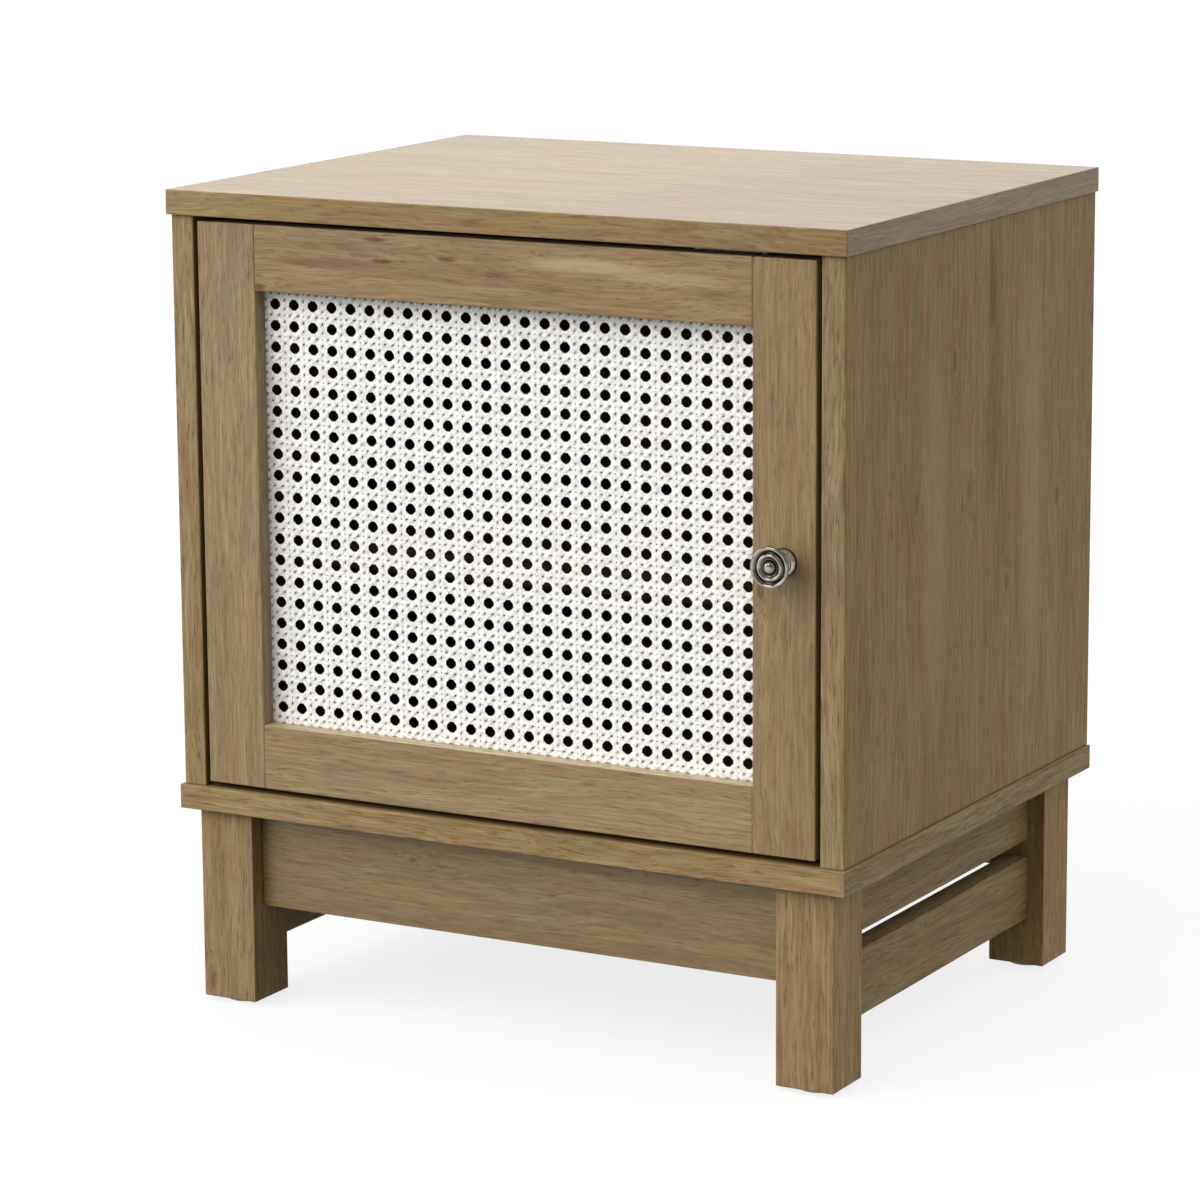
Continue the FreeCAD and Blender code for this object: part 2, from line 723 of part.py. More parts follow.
def knob():
    """A turned knob: a tapered foot, a neck that flares into a disc, and two ring grooves in the disc."""
    foot = ("knob_across", "carcass_front", "door_mid_height")
    base = cone(
        "knob_foot",
        foot,
        FORWARD,
        "knob_base_diameter / 2",
        "knob_neck_diameter / 2",
        "knob_base_height",
    )
    neck = rod("knob_neck", foot, FORWARD, "knob_neck_diameter / 2", "knob_projection")
    flare = cone(
        "knob_flare",
        moved(foot, FORWARD, "disc_back - knob_flare"),
        FORWARD,
        "knob_neck_diameter / 2",
        "knob_diameter / 2",
        "knob_flare",
    )
    disc_start = moved(foot, FORWARD, "disc_back")
    disc = rod("knob_disc", disc_start, FORWARD, "knob_diameter / 2", "knob_disc_thickness")
    rings = []
    for diameter in ("knob_ring_diameter", "knob_button_diameter"):
        ring = doc.addObject("Part::Torus", "knob_groove")
        ring.Placement = Placement(Vector(), Rotation(Vector(0, 0, 1), Vector(*FORWARD)))
        bind(ring, "Radius1", diameter + " / 2")
        bind(ring, "Radius2", "knob_groove")
        place(ring, *moved(foot, FORWARD, "knob_projection"))
        rings.append(ring)
    body = fused("knob_turning", [base, neck, flare, disc])
    seat = ("knob_across", "door_back", "door_mid_height")
    screw, hole = pan_screw(
        "knob_bolt", seat, FORWARD, "knob_screw_diameter", "knob_screw_length", "knob_screw_head"
    )
    drill(("knob_stile",), hole)
    node(cut("knob_cut", body, rings + [hole]), "knob")
    node(screw, "knob_screw")


# Hinges
def hinge_arm(label, height):
    """A strap that leaves the pin, bows round the corner of the door and runs back along the side panel."""
    pin = ("pin_across", "pin_back")
    turn = Rotation(Vector(0, 0, 1), 1)
    strap_bottom = height + " - arm_height / 2"
    knuckle_bottom = height + " - knuckle_height / 2"
    knuckle = rod(
        label + "_knuckle", pin + (knuckle_bottom,), UP, "knuckle_diameter / 2", "knuckle_height"
    )
    strap = doc.addObject("Part::Box", label + "_strap")
    strap.Placement = Placement(Vector(), turn)
    bind(strap, "Placement.Rotation.Angle", "arm_exit_angle")
    bind(strap, "Length", "arm_outside")
    bind(strap, "Width", "arm_thickness")
    bind(strap, "Height", "arm_height")
    place(
        strap,
        "pin_across + sin(arm_exit_angle) * arm_thickness / 2",
        "pin_back - cos(arm_exit_angle) * arm_thickness / 2",
        strap_bottom,
    )
    sector = doc.addObject("Part::Cylinder", label + "_sector")
    sector.Placement = Placement(Vector(), turn)
    bind(sector, "Placement.Rotation.Angle", "arm_exit_angle")
    bind(sector, "Radius", "arm_outside")
    bind(sector, "Height", "arm_height")
    bind(sector, "Angle", "90 - arm_exit_angle")
    place(sector, *pin, strap_bottom)
    core = rod(label + "_core", pin + (strap_bottom,), UP, "arm_inside", "arm_height")
    bow = cut(label + "_bow", sector, [core])
    bridge = block(
        label + "_bridge",
        ("plate_face", "bow_front", strap_bottom),
        ("pin_across - plate_face", "arm_thickness", "arm_height"),
    )
    leg = block(
        label + "_leg",
        ("plate_face", "bow_front", strap_bottom),
        ("arm_thickness", "arm_leg_length", "arm_height"),
    )
    bore = rod(
        label + "_bore",
        pin + (knuckle_bottom,),
        UP,
        "pin_diameter / 2 + pin_clearance",
        "knuckle_height",
    )
    body = fused(label + "_body", [knuckle, strap, bow, bridge, leg])
    return body, bore


def hinge_cup(label, height):
    """A round cup let into the door back, with a flange that has a screw ear above and below."""
    centre = ("cup_across", "cup_front", height)
    shell = rod(label + "_shell", centre, INTO_DEPTH, "cup_radius", "cup_depth")
    rim = rod(
        label + "_rim",
        ("cup_across", "door_back", height),
        INTO_DEPTH,
        "cup_radius + flange_rim",
        "flange_thickness",
    )
    ears = block(
        label + "_ears",
        ("ear_across - ear_width / 2", "door_back", height + " - ear_height / 2"),
        ("ear_width", "flange_thickness", "ear_height"),
    )
    inside = rod(
        label + "_inside",
        ("cup_across", "cup_front + cup_wall", height),
        INTO_DEPTH,
        "cup_radius - cup_wall",
        "cup_depth + flange_thickness",
    )
    pocket = rod(
        label + "_pocket",
        moved(centre, FORWARD, "fit_clearance"),
        INTO_DEPTH,
        "cup_radius + fit_clearance",
        "cup_depth + 2 * fit_clearance",
    )
    return fused(label + "_pressing", [shell, rim, ears]), inside, pocket


def hinges():
    cup_screws = []
    plate_screws = []
    arm_screws = []
    spots = (
        ("upper", "(door_top - hinge_end_distance)"),
        ("lower", "(door_bottom + hinge_end_distance)"),
    )
    screw_sizes = ("fitting_screw_diameter", "fitting_screw_length", "fitting_screw_head")
    for spot, height in spots:
        body, bore = hinge_arm(spot + "_arm", height)
        cup, inside, pocket = hinge_cup(spot + "_cup", height)
        # The pin ends inside the cup wall, where the cup is this long above and below the pin
        pin_half = "(sqrt((cup_radius - cup_wall / 2) ^ 2 - (cup_across - pin_across) ^ 2))"
        pin_start = ("pin_across", "pin_back", height + " - " + pin_half)
        pin = rod(spot + "_pin", pin_start, UP, "pin_diameter / 2", "2 * " + pin_half)
        pin_seat = rod(
            spot + "_pin_seat", pin_start, UP, "pin_diameter / 2 + pin_clearance", "2 * " + pin_half
        )
        drill(("hinge_stile",), pocket)
        cup_cuts = [inside, pin_seat]
        for side in (1, -1):
            seat = (
                "ear_across",
                "flange_back",
                "%s + %d * ear_screw_spacing / 2" % (height, side),
            )
            screw, hole = pan_screw(spot + "_cup_screw", seat, FORWARD, *screw_sizes)
            cup_screws.append(screw)
            cup_cuts.append(hole)
            drill(("hinge_stile",), hole)
        plate = block(
            spot + "_plate",
            ("-side_inner", "plate_front", height + " - plate_height / 2"),
            ("plate_thickness", "plate_length", "plate_height"),
        )
        plate_cuts = []
        middle = "plate_front + plate_length / 2"
        leftward = (-1, 0, 0)
        for side in (1, -1):
            seat = ("plate_face", middle, "%s + %d * plate_screw_spacing / 2" % (height, side))
            screw, hole = pan_screw(spot + "_plate_screw", seat, leftward, *screw_sizes)
            plate_screws.append(screw)
            plate_cuts.append(hole)
            drill(("left_side_panel",), hole)
        seat = ("plate_face + arm_thickness", middle, height)
        screw, hole = pan_screw(spot + "_arm_screw", seat, leftward, *screw_sizes)
        arm_screws.append(screw)
        plate_cuts.append(hole)
        drill(("left_side_panel",), hole)
        node(cut(spot + "_arm_cut", body, [bore, hole]), spot + "_hinge_arm")
        node(cut(spot + "_cup_cut", cup, cup_cuts), spot + "_hinge_cup")
        node(pin, spot + "_hinge_pin")
        node(cut(spot + "_plate_cut", plate, plate_cuts), spot + "_mounting_plate")
    node(group("cup_screw_set", cup_screws), "cup_screws")
    node(group("plate_screw_set", plate_screws), "plate_screws")
    node(group("arm_screw_set", arm_screws), "arm_screws")


def magnetic_catch():
    """A housing under the top panel holds a magnet, which meets a steel strike plate on the door back."""
    housing = block(
        "catch_block",
        ("catch_across - catch_length / 2", "catch_front", "catch_bottom"),
        ("catch_length", "catch_depth", "catch_height"),
    )
    magnet_corner = (
        "catch_across - magnet_length / 2",
        "catch_front",
        "strike_middle - magnet_height / 2",
    )
    magnet = block("magnet", magnet_corner, ("magnet_length", "magnet_depth", "magnet_height"))
    pocket = block(
        "magnet_pocket",
        (
            "catch_across - magnet_length / 2 - fit_clearance",
            "catch_front - fit_clearance",
            "strike_middle - magnet_height / 2 - fit_clearance",
        ),
        (
            "magnet_length + 2 * fit_clearance",
            "magnet_depth + 2 * fit_clearance",
            "magnet_height + 2 * fit_clearance",
        ),
    )
    screw_sizes = ("fitting_screw_diameter", "fitting_screw_length", "fitting_screw_head")
    cuts = [pocket]
    screws = []
    for side_name, side in SIDES:
        step_corner = "catch_length / 2 - catch_ear" if side > 0 else "-catch_length / 2"
        cuts.append(
            block(
                "catch_step",
                ("catch_across + (%s)" % step_corner, "catch_front", "catch_bottom"),
                ("catch_ear", "catch_depth", "catch_height - catch_ear_thickness"),
            )
        )
        seat = (
            "catch_across + %d * (catch_length - catch_ear) / 2" % side,
            "catch_front + catch_depth / 2",
            "ear_under",
        )
        screw, hole = pan_screw("catch_screw", seat, UP, *screw_sizes)
        screws.append(screw)
        cuts.append(hole)
        drill(("top_panel",), hole)
    node(cut("catch_shell", housing, cuts), "catch_housing")
    node(magnet, "catch_magnet")
    node(group("catch_screw_set", screws), "catch_screws")
    strike = block(
        "strike",
        ("catch_across - strike_length / 2", "door_back", "strike_middle - strike_height / 2"),
        ("strike_length", "strike_thickness", "strike_height"),
    )
    strike_screws = []
    strike_cuts = []
    for side in (1, -1):
        seat = (
            "catch_across + %d * strike_screw_spacing / 2" % side,
            "strike_back",
            "strike_middle",
        )
        screw, (sinking, shank_hole) = sunk_screw(
            "strike_screw", seat, FORWARD, *screw_sizes, "strike_thickness"
        )
        strike_screws.append(screw)
        strike_cuts.extend((sinking, shank_hole))
        drill(("door_top_rail",), shank_hole)
    node(cut("strike_cut", strike, strike_cuts), "strike_plate")
    node(group("strike_screw_set", strike_screws), "strike_screws")


def finish_boards():
    for name, blank in blanks.items():
        tools = holes.get(name)
        node(cut(name + "_drilled", blank, tools) if tools else blank, name)


def check_and_write():
    doc.recompute()
    for item in doc.Objects:
        if "Invalid" in item.State or "Error" in item.State:
            raise RuntimeError("%s failed: %s" % (item.Label, item.State))
    for name, item in nodes.items():
        if item.Shape.isNull() or not item.Shape.isValid():
            raise RuntimeError(name + " has no valid shape")
    os.makedirs("parts", exist_ok=True)
    for name, item in nodes.items():
        item.Shape.exportStep("parts/%s.step" % name)
    print("%d sub-parts written" % len(nodes))


carcass_boards()
back_panel()
shelf_pins()
cam_fittings()
legs_and_glides()
aprons_and_rails()
door_frame()
cane_stops()
cane_panel()
knob()
hinges()
magnetic_catch()
finish_boards()
check_and_write()
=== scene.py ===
import json
import math

import bpy
from mathutils import Matrix, Vector


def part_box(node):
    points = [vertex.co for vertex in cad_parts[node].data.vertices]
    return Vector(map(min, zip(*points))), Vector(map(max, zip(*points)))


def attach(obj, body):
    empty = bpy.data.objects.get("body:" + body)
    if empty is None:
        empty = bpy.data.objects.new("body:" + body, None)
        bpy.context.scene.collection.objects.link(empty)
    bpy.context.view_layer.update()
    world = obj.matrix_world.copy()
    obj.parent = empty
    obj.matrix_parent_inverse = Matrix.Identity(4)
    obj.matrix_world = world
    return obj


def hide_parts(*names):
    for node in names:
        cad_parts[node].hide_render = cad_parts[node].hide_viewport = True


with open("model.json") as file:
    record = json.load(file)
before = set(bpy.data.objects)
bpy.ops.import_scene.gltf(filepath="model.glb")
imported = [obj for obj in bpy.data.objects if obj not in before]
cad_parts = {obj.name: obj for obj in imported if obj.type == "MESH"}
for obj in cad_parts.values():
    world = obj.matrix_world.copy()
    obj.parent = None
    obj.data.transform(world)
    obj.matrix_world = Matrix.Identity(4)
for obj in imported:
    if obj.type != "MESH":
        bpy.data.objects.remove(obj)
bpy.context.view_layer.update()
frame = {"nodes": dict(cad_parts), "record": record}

# Storage side table: oak-effect boards, a door with a white cane panel, a turned nickel knob.
# Lengths are in metres, and MM turns a length in millimetres into one in metres.

nodes = frame["nodes"]
MM = 0.001

# the Mix node's two inputs and its output for numbers, vectors and colours
NUMBER_A, NUMBER_B, NUMBER_OUT = 2, 3, 0
VECTOR_A, VECTOR_B, VECTOR_OUT = 4, 5, 1
COLOUR_A, COLOUR_B, COLOUR_OUT = 6, 7, 2


def linear(code):
    """An sRGB hex colour such as "#988362" as linear red, green, blue and alpha."""
    parts = [int(code[i:i + 2], 16) / 255 for i in (1, 3, 5)]
    return [p / 12.92 if p <= 0.04045 else ((p + 0.055) / 1.055) ** 2.4 for p in parts] + [1.0]


def add(tree, kind, inputs=None, ramp=None, **settings):
    """Adds one node, with its settings, its links or plain input values, and its ramp stops."""
    made = tree.nodes.new("ShaderNode" + kind)
    for name, setting in settings.items():
        setattr(made, name, setting)
    for name, value in (inputs or {}).items():
        if isinstance(value, bpy.types.NodeSocket):
            tree.links.new(value, made.inputs[name])
        else:
            made.inputs[name].default_value = value
    if ramp:
        stops = made.color_ramp.elements
        for i, (place, code) in enumerate(ramp):
            stop = stops[i] if i < 2 else stops.new(place)
            stop.position = place
            stop.color = linear(code)
    return made


def new_material(name):
    """A material with its node tree and its shader."""
    material = bpy.data.materials.new(name)
    material.use_nodes = True
    return material, material.node_tree, material.node_tree.nodes["Principled BSDF"]


def scale_of(*sizes):
    """The scale of a pattern whose features have these sizes in mm along X, Y and Z."""
    return [1000 / size for size in sizes]


# Oak-effect boards

# Oak grain foil on board: a printed and embossed paper foil under a matt lacquer. The eye sees olive-beige
# wood with soft growth bands, a faint rosy blush, fine streaks and fibres, short dark pores along the grain,
# and a few knots and veins. The edge bands show the fibres more. Real oak pores are about 0.2 mm wide; fibres
# and pores are drawn 0.8 to 1.1 mm wide so that they show.
OAK_LAYERS = {
    # length along the grain and width across it in mm, noise detail, colours
    "drift": (360, 55, 2.0, [(0.34, "#927852"), (0.66, "#A49371")]),
    "bands": (240, 9, 3.0, [(0.30, "#88724F"), (0.44, "#97835F"), (0.56, "#A18E68"), (0.72, "#AD9B74")]),
    "blush": (70, 4, 2.0, [(0.32, "#A27A59"), (0.68, "#968E64")]),
    "streaks": (80, 2.4, 2.0, [(0.30, "#CFC8BC"), (0.66, "#FFFFFF")]),
    "fibres": (30, 1.1, 2.0, [(0.28, "#C2B9AA"), (0.70, "#FFFFFF")]),
    "pores": (12, 0.8, 1.0, [(0.30, "#BBAD98"), (0.42, "#FFFFFF")]),
}
BROAD_LAYERS = ("drift", "bands", "blush")
PRINTED_LAYERS = ("streaks", "fibres", "pores")
NOISE_ROUGHNESS = 0.55
# a noise pattern's values lie mostly between these, and the low ones are the darker places
NOISE_LOW, NOISE_HIGH = 0.3, 0.7
DRIFT_SHARE, BLUSH_SHARE = 0.45, 0.4
# how far the broad layers spread on a narrow board and on a wide panel
NARROW, WIDE = 1, 2.4
# strength of the printed layers on an edge band, and on the face of a narrow board and of a wide panel
EDGE_PRINT, NARROW_PRINT, WIDE_PRINT = 0.75, 0.7, 0.62
# the grain's bends: their length and width, and how far they carry it sideways, in mm
GRAIN_BENDS = ((50, 14, 5), (320, 80, 30))

AXIS = {"X": (1, 0, 0), "Y": (0, 1, 0), "Z": (0, 0, 1)}
# the turn that lays a grain along an axis, and the way the foil runs on the ends of a board
GRAIN_TURN = {
    "X": (0.0, 0.0, 0.0),
    "Y": (0.0, 0.0, -math.pi / 2),
    "Z": (0.0, math.pi / 2, 0.0),
}
EDGE_GRAIN = {"X": "Y", "Y": "X", "Z": "Y"}
FACING = 0.75

# A knot or vein is at full strength to the core and gone at the edge, in shares of its size. The grain bows
# round a mark that is short enough, in mm, to be a knot: how far out, and by how much of the knot's width.
# Between the dark streaks, a knot or vein is weaker.
KNOT_BROWN, PALE_FIGURE = "#582F14", "#C2B18C"
MARK_CORE, MARK_EDGE = 0.4, 1.1
LONGEST_KNOT = 20
BOW_OUT, BOW_SHARE = 4.0, 1.4
STREAK_DARK, STREAK_PALE = 0.35, 0.65
MARK_BETWEEN_STREAKS = 0.65

# tint of the edge bands, and of those that differ. Several of these are painted light or shade: the lower
# door rail's edges, nearly twice as bright, carry a painted sheen; the sides of the front right and rear
# right legs are brightened, painted light on their shaded right-hand faces; the sides of the front left leg
# are darkened as painted shade; the shelf's edges are darkened as painted shade inside the cabinet
EDGE_TONE = (1.08, 1.1, 1.16)
EDGE_TONES_AND_PAINTED_LIGHT = {
    "top_panel": (0.98, 0.97, 0.81),
    "right_side_panel": (1.02, 1.08, 1.18),
    "door_bottom_rail": (1.75, 1.92, 2.1),
    "front_left_leg": (0.9, 0.84, 0.72),
    "front_right_leg": (1.26, 1.19, 1.08),
    "rear_right_leg": (1.4, 1.32, 1.14),
    "shelf": (0.4, 0.35, 0.32),
}

# roughness on the streaks and between them, and that of the faces that look up, where it differs: lacquered
# ones mirror the bright room at a low angle, and the hidden edge above the door is left raw
SATIN = (0.46, 0.36)
UPWARD_GLOSS = {"top_panel": (0.27, 0.21), "door_bottom_rail": (0.27, 0.21), "door_top_rail": (1.0, 0.9)}
# boards that are rubbed dull
DULL_BOARDS = (
    "bottom_panel", "left_side_panel", "right_side_panel", "shelf",
    "left_upper_rail", "left_lower_rail", "right_upper_rail", "right_lower_rail",
    "front_left_leg", "front_right_leg", "rear_right_leg", "rear_left_leg",
)
DULL_SPECULAR, SATIN_SPECULAR = 0.06, 0.5

# painted shade: the foil on the faces inside the cabinet is darkened; it starts a little behind the front
# of the door
INSIDE_SHADED_BOARDS = ("top_panel", "bottom_panel", "left_side_panel", "right_side_panel", "shelf", "back_panel")
INSIDE_SHADE_TINT = "#CFCAC2"
INSIDE_SHADE_SLACK = 0.4 * MM
INSIDE_SHADE_SETBACK = 0.8 * MM
door_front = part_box("knob_stile")[0].y
INSIDE_LOW = Vector((
    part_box("left_side_panel")[1].x - INSIDE_SHADE_SLACK,
    door_front + INSIDE_SHADE_SETBACK,
    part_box("bottom_panel")[1].z - INSIDE_SHADE_SLACK,
))
INSIDE_HIGH = Vector((
    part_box("right_side_panel")[0].x + INSIDE_SHADE_SLACK,
    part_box("back_panel")[0].y + INSIDE_SHADE_SLACK,
    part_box("top_panel")[0].z + INSIDE_SHADE_SLACK,
))


def inside_cabinet(tree, place):
    """1 on the faces inside the cabinet, where the shade is painted, else 0."""
    middle, half = (INSIDE_LOW + INSIDE_HIGH) / 2, (INSIDE_HIGH - INSIDE_LOW) / 2
    centred = add(tree, "VectorMath", {0: place.outputs["Object"], 1: middle}, operation="SUBTRACT")
    scaled = add(tree, "VectorMath", {0: centred.outputs[0], 1: half}, operation="DIVIDE")
    reach = add(tree, "VectorMath", {0: scaled.outputs[0]}, operation="ABSOLUTE")
    parts = add(tree, "SeparateXYZ", {0: reach.outputs[0]})
    level = add(tree, "Math", {0: parts.outputs["X"], 1: parts.outputs["Y"]}, operation="MAXIMUM")
    most = add(tree, "Math", {0: level.outputs[0], 1: parts.outputs["Z"]}, operation="MAXIMUM")
    return add(tree, "Math", {0: most.outputs[0], 1: 1.0}, operation="LESS_THAN").outputs[0]


def turned_to(tree, place, axis):
    """1 on faces that look along the axis, either way, else 0."""
    along = add(tree, "VectorMath", {0: place.outputs["Normal"], 1: AXIS[axis]}, operation="DOT_PRODUCT")
    size = add(tree, "Math", {0: along.outputs["Value"]}, operation="ABSOLUTE")
    return add(tree, "Math", {0: size.outputs[0], 1: FACING}, operation="GREATER_THAN").outputs[0]


def grain_flow(tree, place, grain, shift):
    """Coordinates whose X runs along the grain, or along the edge on the ends of a board."""
    ways = []
    for axis in (grain, EDGE_GRAIN[grain]):
        turned = add(tree, "Mapping", {"Vector": place.outputs["Object"], "Rotation": GRAIN_TURN[axis],
                                       "Location": shift})
        ways.append(turned.outputs[0])
    flow = add(tree, "Mix", {0: turned_to(tree, place, grain), VECTOR_A: ways[0], VECTOR_B: ways[1]},
               data_type="VECTOR")
    return flow.outputs[VECTOR_OUT]


def grain_stray(tree, flow):
    """How far the grain wanders sideways."""
    stray = 0.0
    for length, width, reach in GRAIN_BENDS:
        bends = add(tree, "Mapping", {"Vector": flow, "Scale": scale_of(length, width, width)})
        noise = add(tree, "TexNoise", {"Vector": bends.outputs[0], "Scale": 1.0, "Detail": 1.0})
        stray = add(tree, "Math", {0: noise.outputs[0], 1: reach * MM, 2: stray},
                    operation="MULTIPLY_ADD").outputs[0]
    return stray


def mark_place(board, face, first, second):
    """A point on a board's show face, the outer, front or top one, from its two other coordinates in mm."""
    low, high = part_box(board)
    outer = high.x if high.x > 0 else low.x
    return {"X": (outer, first * MM, second * MM), "Y": (first * MM, low.y, second * MM),
            "Z": (first * MM, second * MM, high.z)}[face]


def knots_and_veins(tree, place, board, grain, face, marks, stray):
    """The strength of the dark and of the pale marks, and the grain's stray with its bows round the knots."""
    strengths = {}
    for first, second, length, width, depth in marks:
        middle = mark_place(board, face, first, second)
        centred = add(tree, "VectorMath", {0: place.outputs["Object"], 1: middle}, operation="SUBTRACT")
        turned = add(tree, "Mapping", {"Vector": centred.outputs[0], "Rotation": GRAIN_TURN[grain]})
        stretched = add(tree, "VectorMath", {0: turned.outputs[0], 1: scale_of(length, width, width)},
                        operation="MULTIPLY")
        out = add(tree, "VectorMath", {0: stretched.outputs[0]}, operation="LENGTH").outputs["Value"]
        core = add(tree, "MapRange", {"Value": out, "From Min": MARK_CORE, "From Max": MARK_EDGE,
                                      "To Min": abs(depth), "To Max": 0.0}, interpolation_type="SMOOTHSTEP")
        if length < LONGEST_KNOT:
            bow = add(tree, "MapRange", {"Value": out, "From Min": 0.0, "From Max": BOW_OUT,
                                         "To Min": BOW_SHARE * width * MM, "To Max": 0.0},
                      interpolation_type="SMOOTHSTEP")
            stray = add(tree, "Math", {0: stray, 1: bow.outputs[0]}, operation="ADD").outputs[0]
        tint = KNOT_BROWN if depth > 0 else PALE_FIGURE
        strengths[tint] = add(tree, "Math", {0: core.outputs[0], 1: strengths.get(tint, 0.0)},
                              operation="MAXIMUM").outputs[0]
    return strengths, stray


def oak_colour(tree, board, grain, face, shift, board_tone_and_light, spread, marks):
    """The foil's colour with its streaks and pores. The grain runs along one axis and the show face looks
    along another. Marks are knots and veins: two coordinates on the show face, the length along the grain
    and the width across it in mm, and how dark, or how pale if below zero."""
    place = add(tree, "TexCoord")
    flow = grain_flow(tree, place, grain, shift)
    strengths, stray = knots_and_veins(tree, place, board, grain, face, marks, grain_stray(tree, flow))
    sideways = add(tree, "CombineXYZ", {"Y": stray, "Z": stray})
    bent = add(tree, "VectorMath", {0: flow, 1: sideways.outputs[0]}, operation="ADD")
    noise, shade = {}, {}
    for layer, (length, width, detail, ramp) in OAK_LAYERS.items():
        if layer in BROAD_LAYERS:
            width *= spread
        stretched = add(tree, "Mapping", {"Vector": bent.outputs[0], "Scale": scale_of(length, width, width)})
        noise[layer] = add(tree, "TexNoise", {"Vector": stretched.outputs[0], "Scale": 1.0, "Detail": detail,
                                              "Roughness": NOISE_ROUGHNESS}).outputs[0]
        shade[layer] = add(tree, "ValToRGB", {0: noise[layer]}, ramp=ramp).outputs[0]
    banded = add(tree, "Mix", {0: DRIFT_SHARE, COLOUR_A: shade["bands"], COLOUR_B: shade["drift"]},
                 data_type="RGBA").outputs[COLOUR_OUT]
    colour = add(tree, "Mix", {0: BLUSH_SHARE, COLOUR_A: banded, COLOUR_B: shade["blush"]},
                 data_type="RGBA").outputs[COLOUR_OUT]
    on_face = turned_to(tree, place, face)
    face_print = NARROW_PRINT if spread == NARROW else WIDE_PRINT
    strength = add(tree, "MapRange", {"Value": on_face, "To Min": EDGE_PRINT, "To Max": face_print})
    for layer in PRINTED_LAYERS:
        colour = add(tree, "Mix", {0: strength.outputs[0], COLOUR_A: colour, COLOUR_B: shade[layer]},
                     data_type="RGBA", blend_type="MULTIPLY").outputs[COLOUR_OUT]
    # the edge tint carries painted light and shade on some boards
    edge_tone_and_light = EDGE_TONES_AND_PAINTED_LIGHT.get(board, EDGE_TONE)
    # the face tint carries painted light on the top and painted shade on the front apron and the shelf
    tint = add(tree, "Mix", {0: on_face, COLOUR_A: (*edge_tone_and_light, 1), COLOUR_B: (*board_tone_and_light, 1)}, data_type="RGBA")
    colour = add(tree, "Mix", {0: 1.0, COLOUR_A: colour, COLOUR_B: tint.outputs[COLOUR_OUT]},
                 data_type="RGBA", blend_type="MULTIPLY").outputs[COLOUR_OUT]
    broken = add(tree, "MapRange", {"Value": noise["streaks"], "From Min": STREAK_DARK,
                                    "From Max": STREAK_PALE, "To Min": 1.0, "To Max": MARK_BETWEEN_STREAKS})
    for tint, core in strengths.items():
        depth = add(tree, "Math", {0: core, 1: broken.outputs[0]}, operation="MULTIPLY")
        colour = add(tree, "Mix", {0: depth.outputs[0], COLOUR_A: colour, COLOUR_B: linear(tint)},
                     data_type="RGBA").outputs[COLOUR_OUT]
    # painted shade on the faces inside the cabinet
    if board in INSIDE_SHADED_BOARDS:
        colour = add(tree, "Mix", {0: inside_cabinet(tree, place), COLOUR_A: colour,
                                   COLOUR_B: linear(INSIDE_SHADE_TINT)},
                     data_type="RGBA", blend_type="MULTIPLY").outputs[COLOUR_OUT]
    return colour, noise["streaks"], noise["pores"]


def oak_foil(board, grain, face, *finish):
    """One board's oak grain foil: satin or dull, with the pores pressed in."""
    material, tree, shader = new_material("oak_grain_foil_" + board)
    colour, streaks, pores = oak_colour(tree, board, grain, face, *finish)
    on_streaks, between = SATIN
    gloss = add(tree, "MapRange", {"Value": streaks, "From Min": NOISE_LOW, "From Max": NOISE_HIGH,
                                   "To Min": on_streaks, "To Max": between}).outputs[0]
    if board in UPWARD_GLOSS:
        on_streaks, between = UPWARD_GLOSS[board]
        lacquer = add(tree, "MapRange", {"Value": streaks, "From Min": NOISE_LOW, "From Max": NOISE_HIGH,
                                         "To Min": on_streaks, "To Max": between})
        upward = turned_to(tree, add(tree, "TexCoord"), "Z")
        gloss = add(tree, "Mix", {0: upward, NUMBER_A: gloss, NUMBER_B: lacquer.outputs[0]},
                    data_type="FLOAT").outputs[NUMBER_OUT]
    pressed = add(tree, "Bump", {"Height": pores, "Strength": 0.2, "Distance": 0.1 * MM})
    tree.links.new(colour, shader.inputs["Base Color"])
    tree.links.new(gloss, shader.inputs["Roughness"])
    tree.links.new(pressed.outputs[0], shader.inputs["Normal"])
    specular = DULL_SPECULAR if board in DULL_BOARDS else SATIN_SPECULAR
    shader.inputs["Specular IOR Level"].default_value = specular
    return material
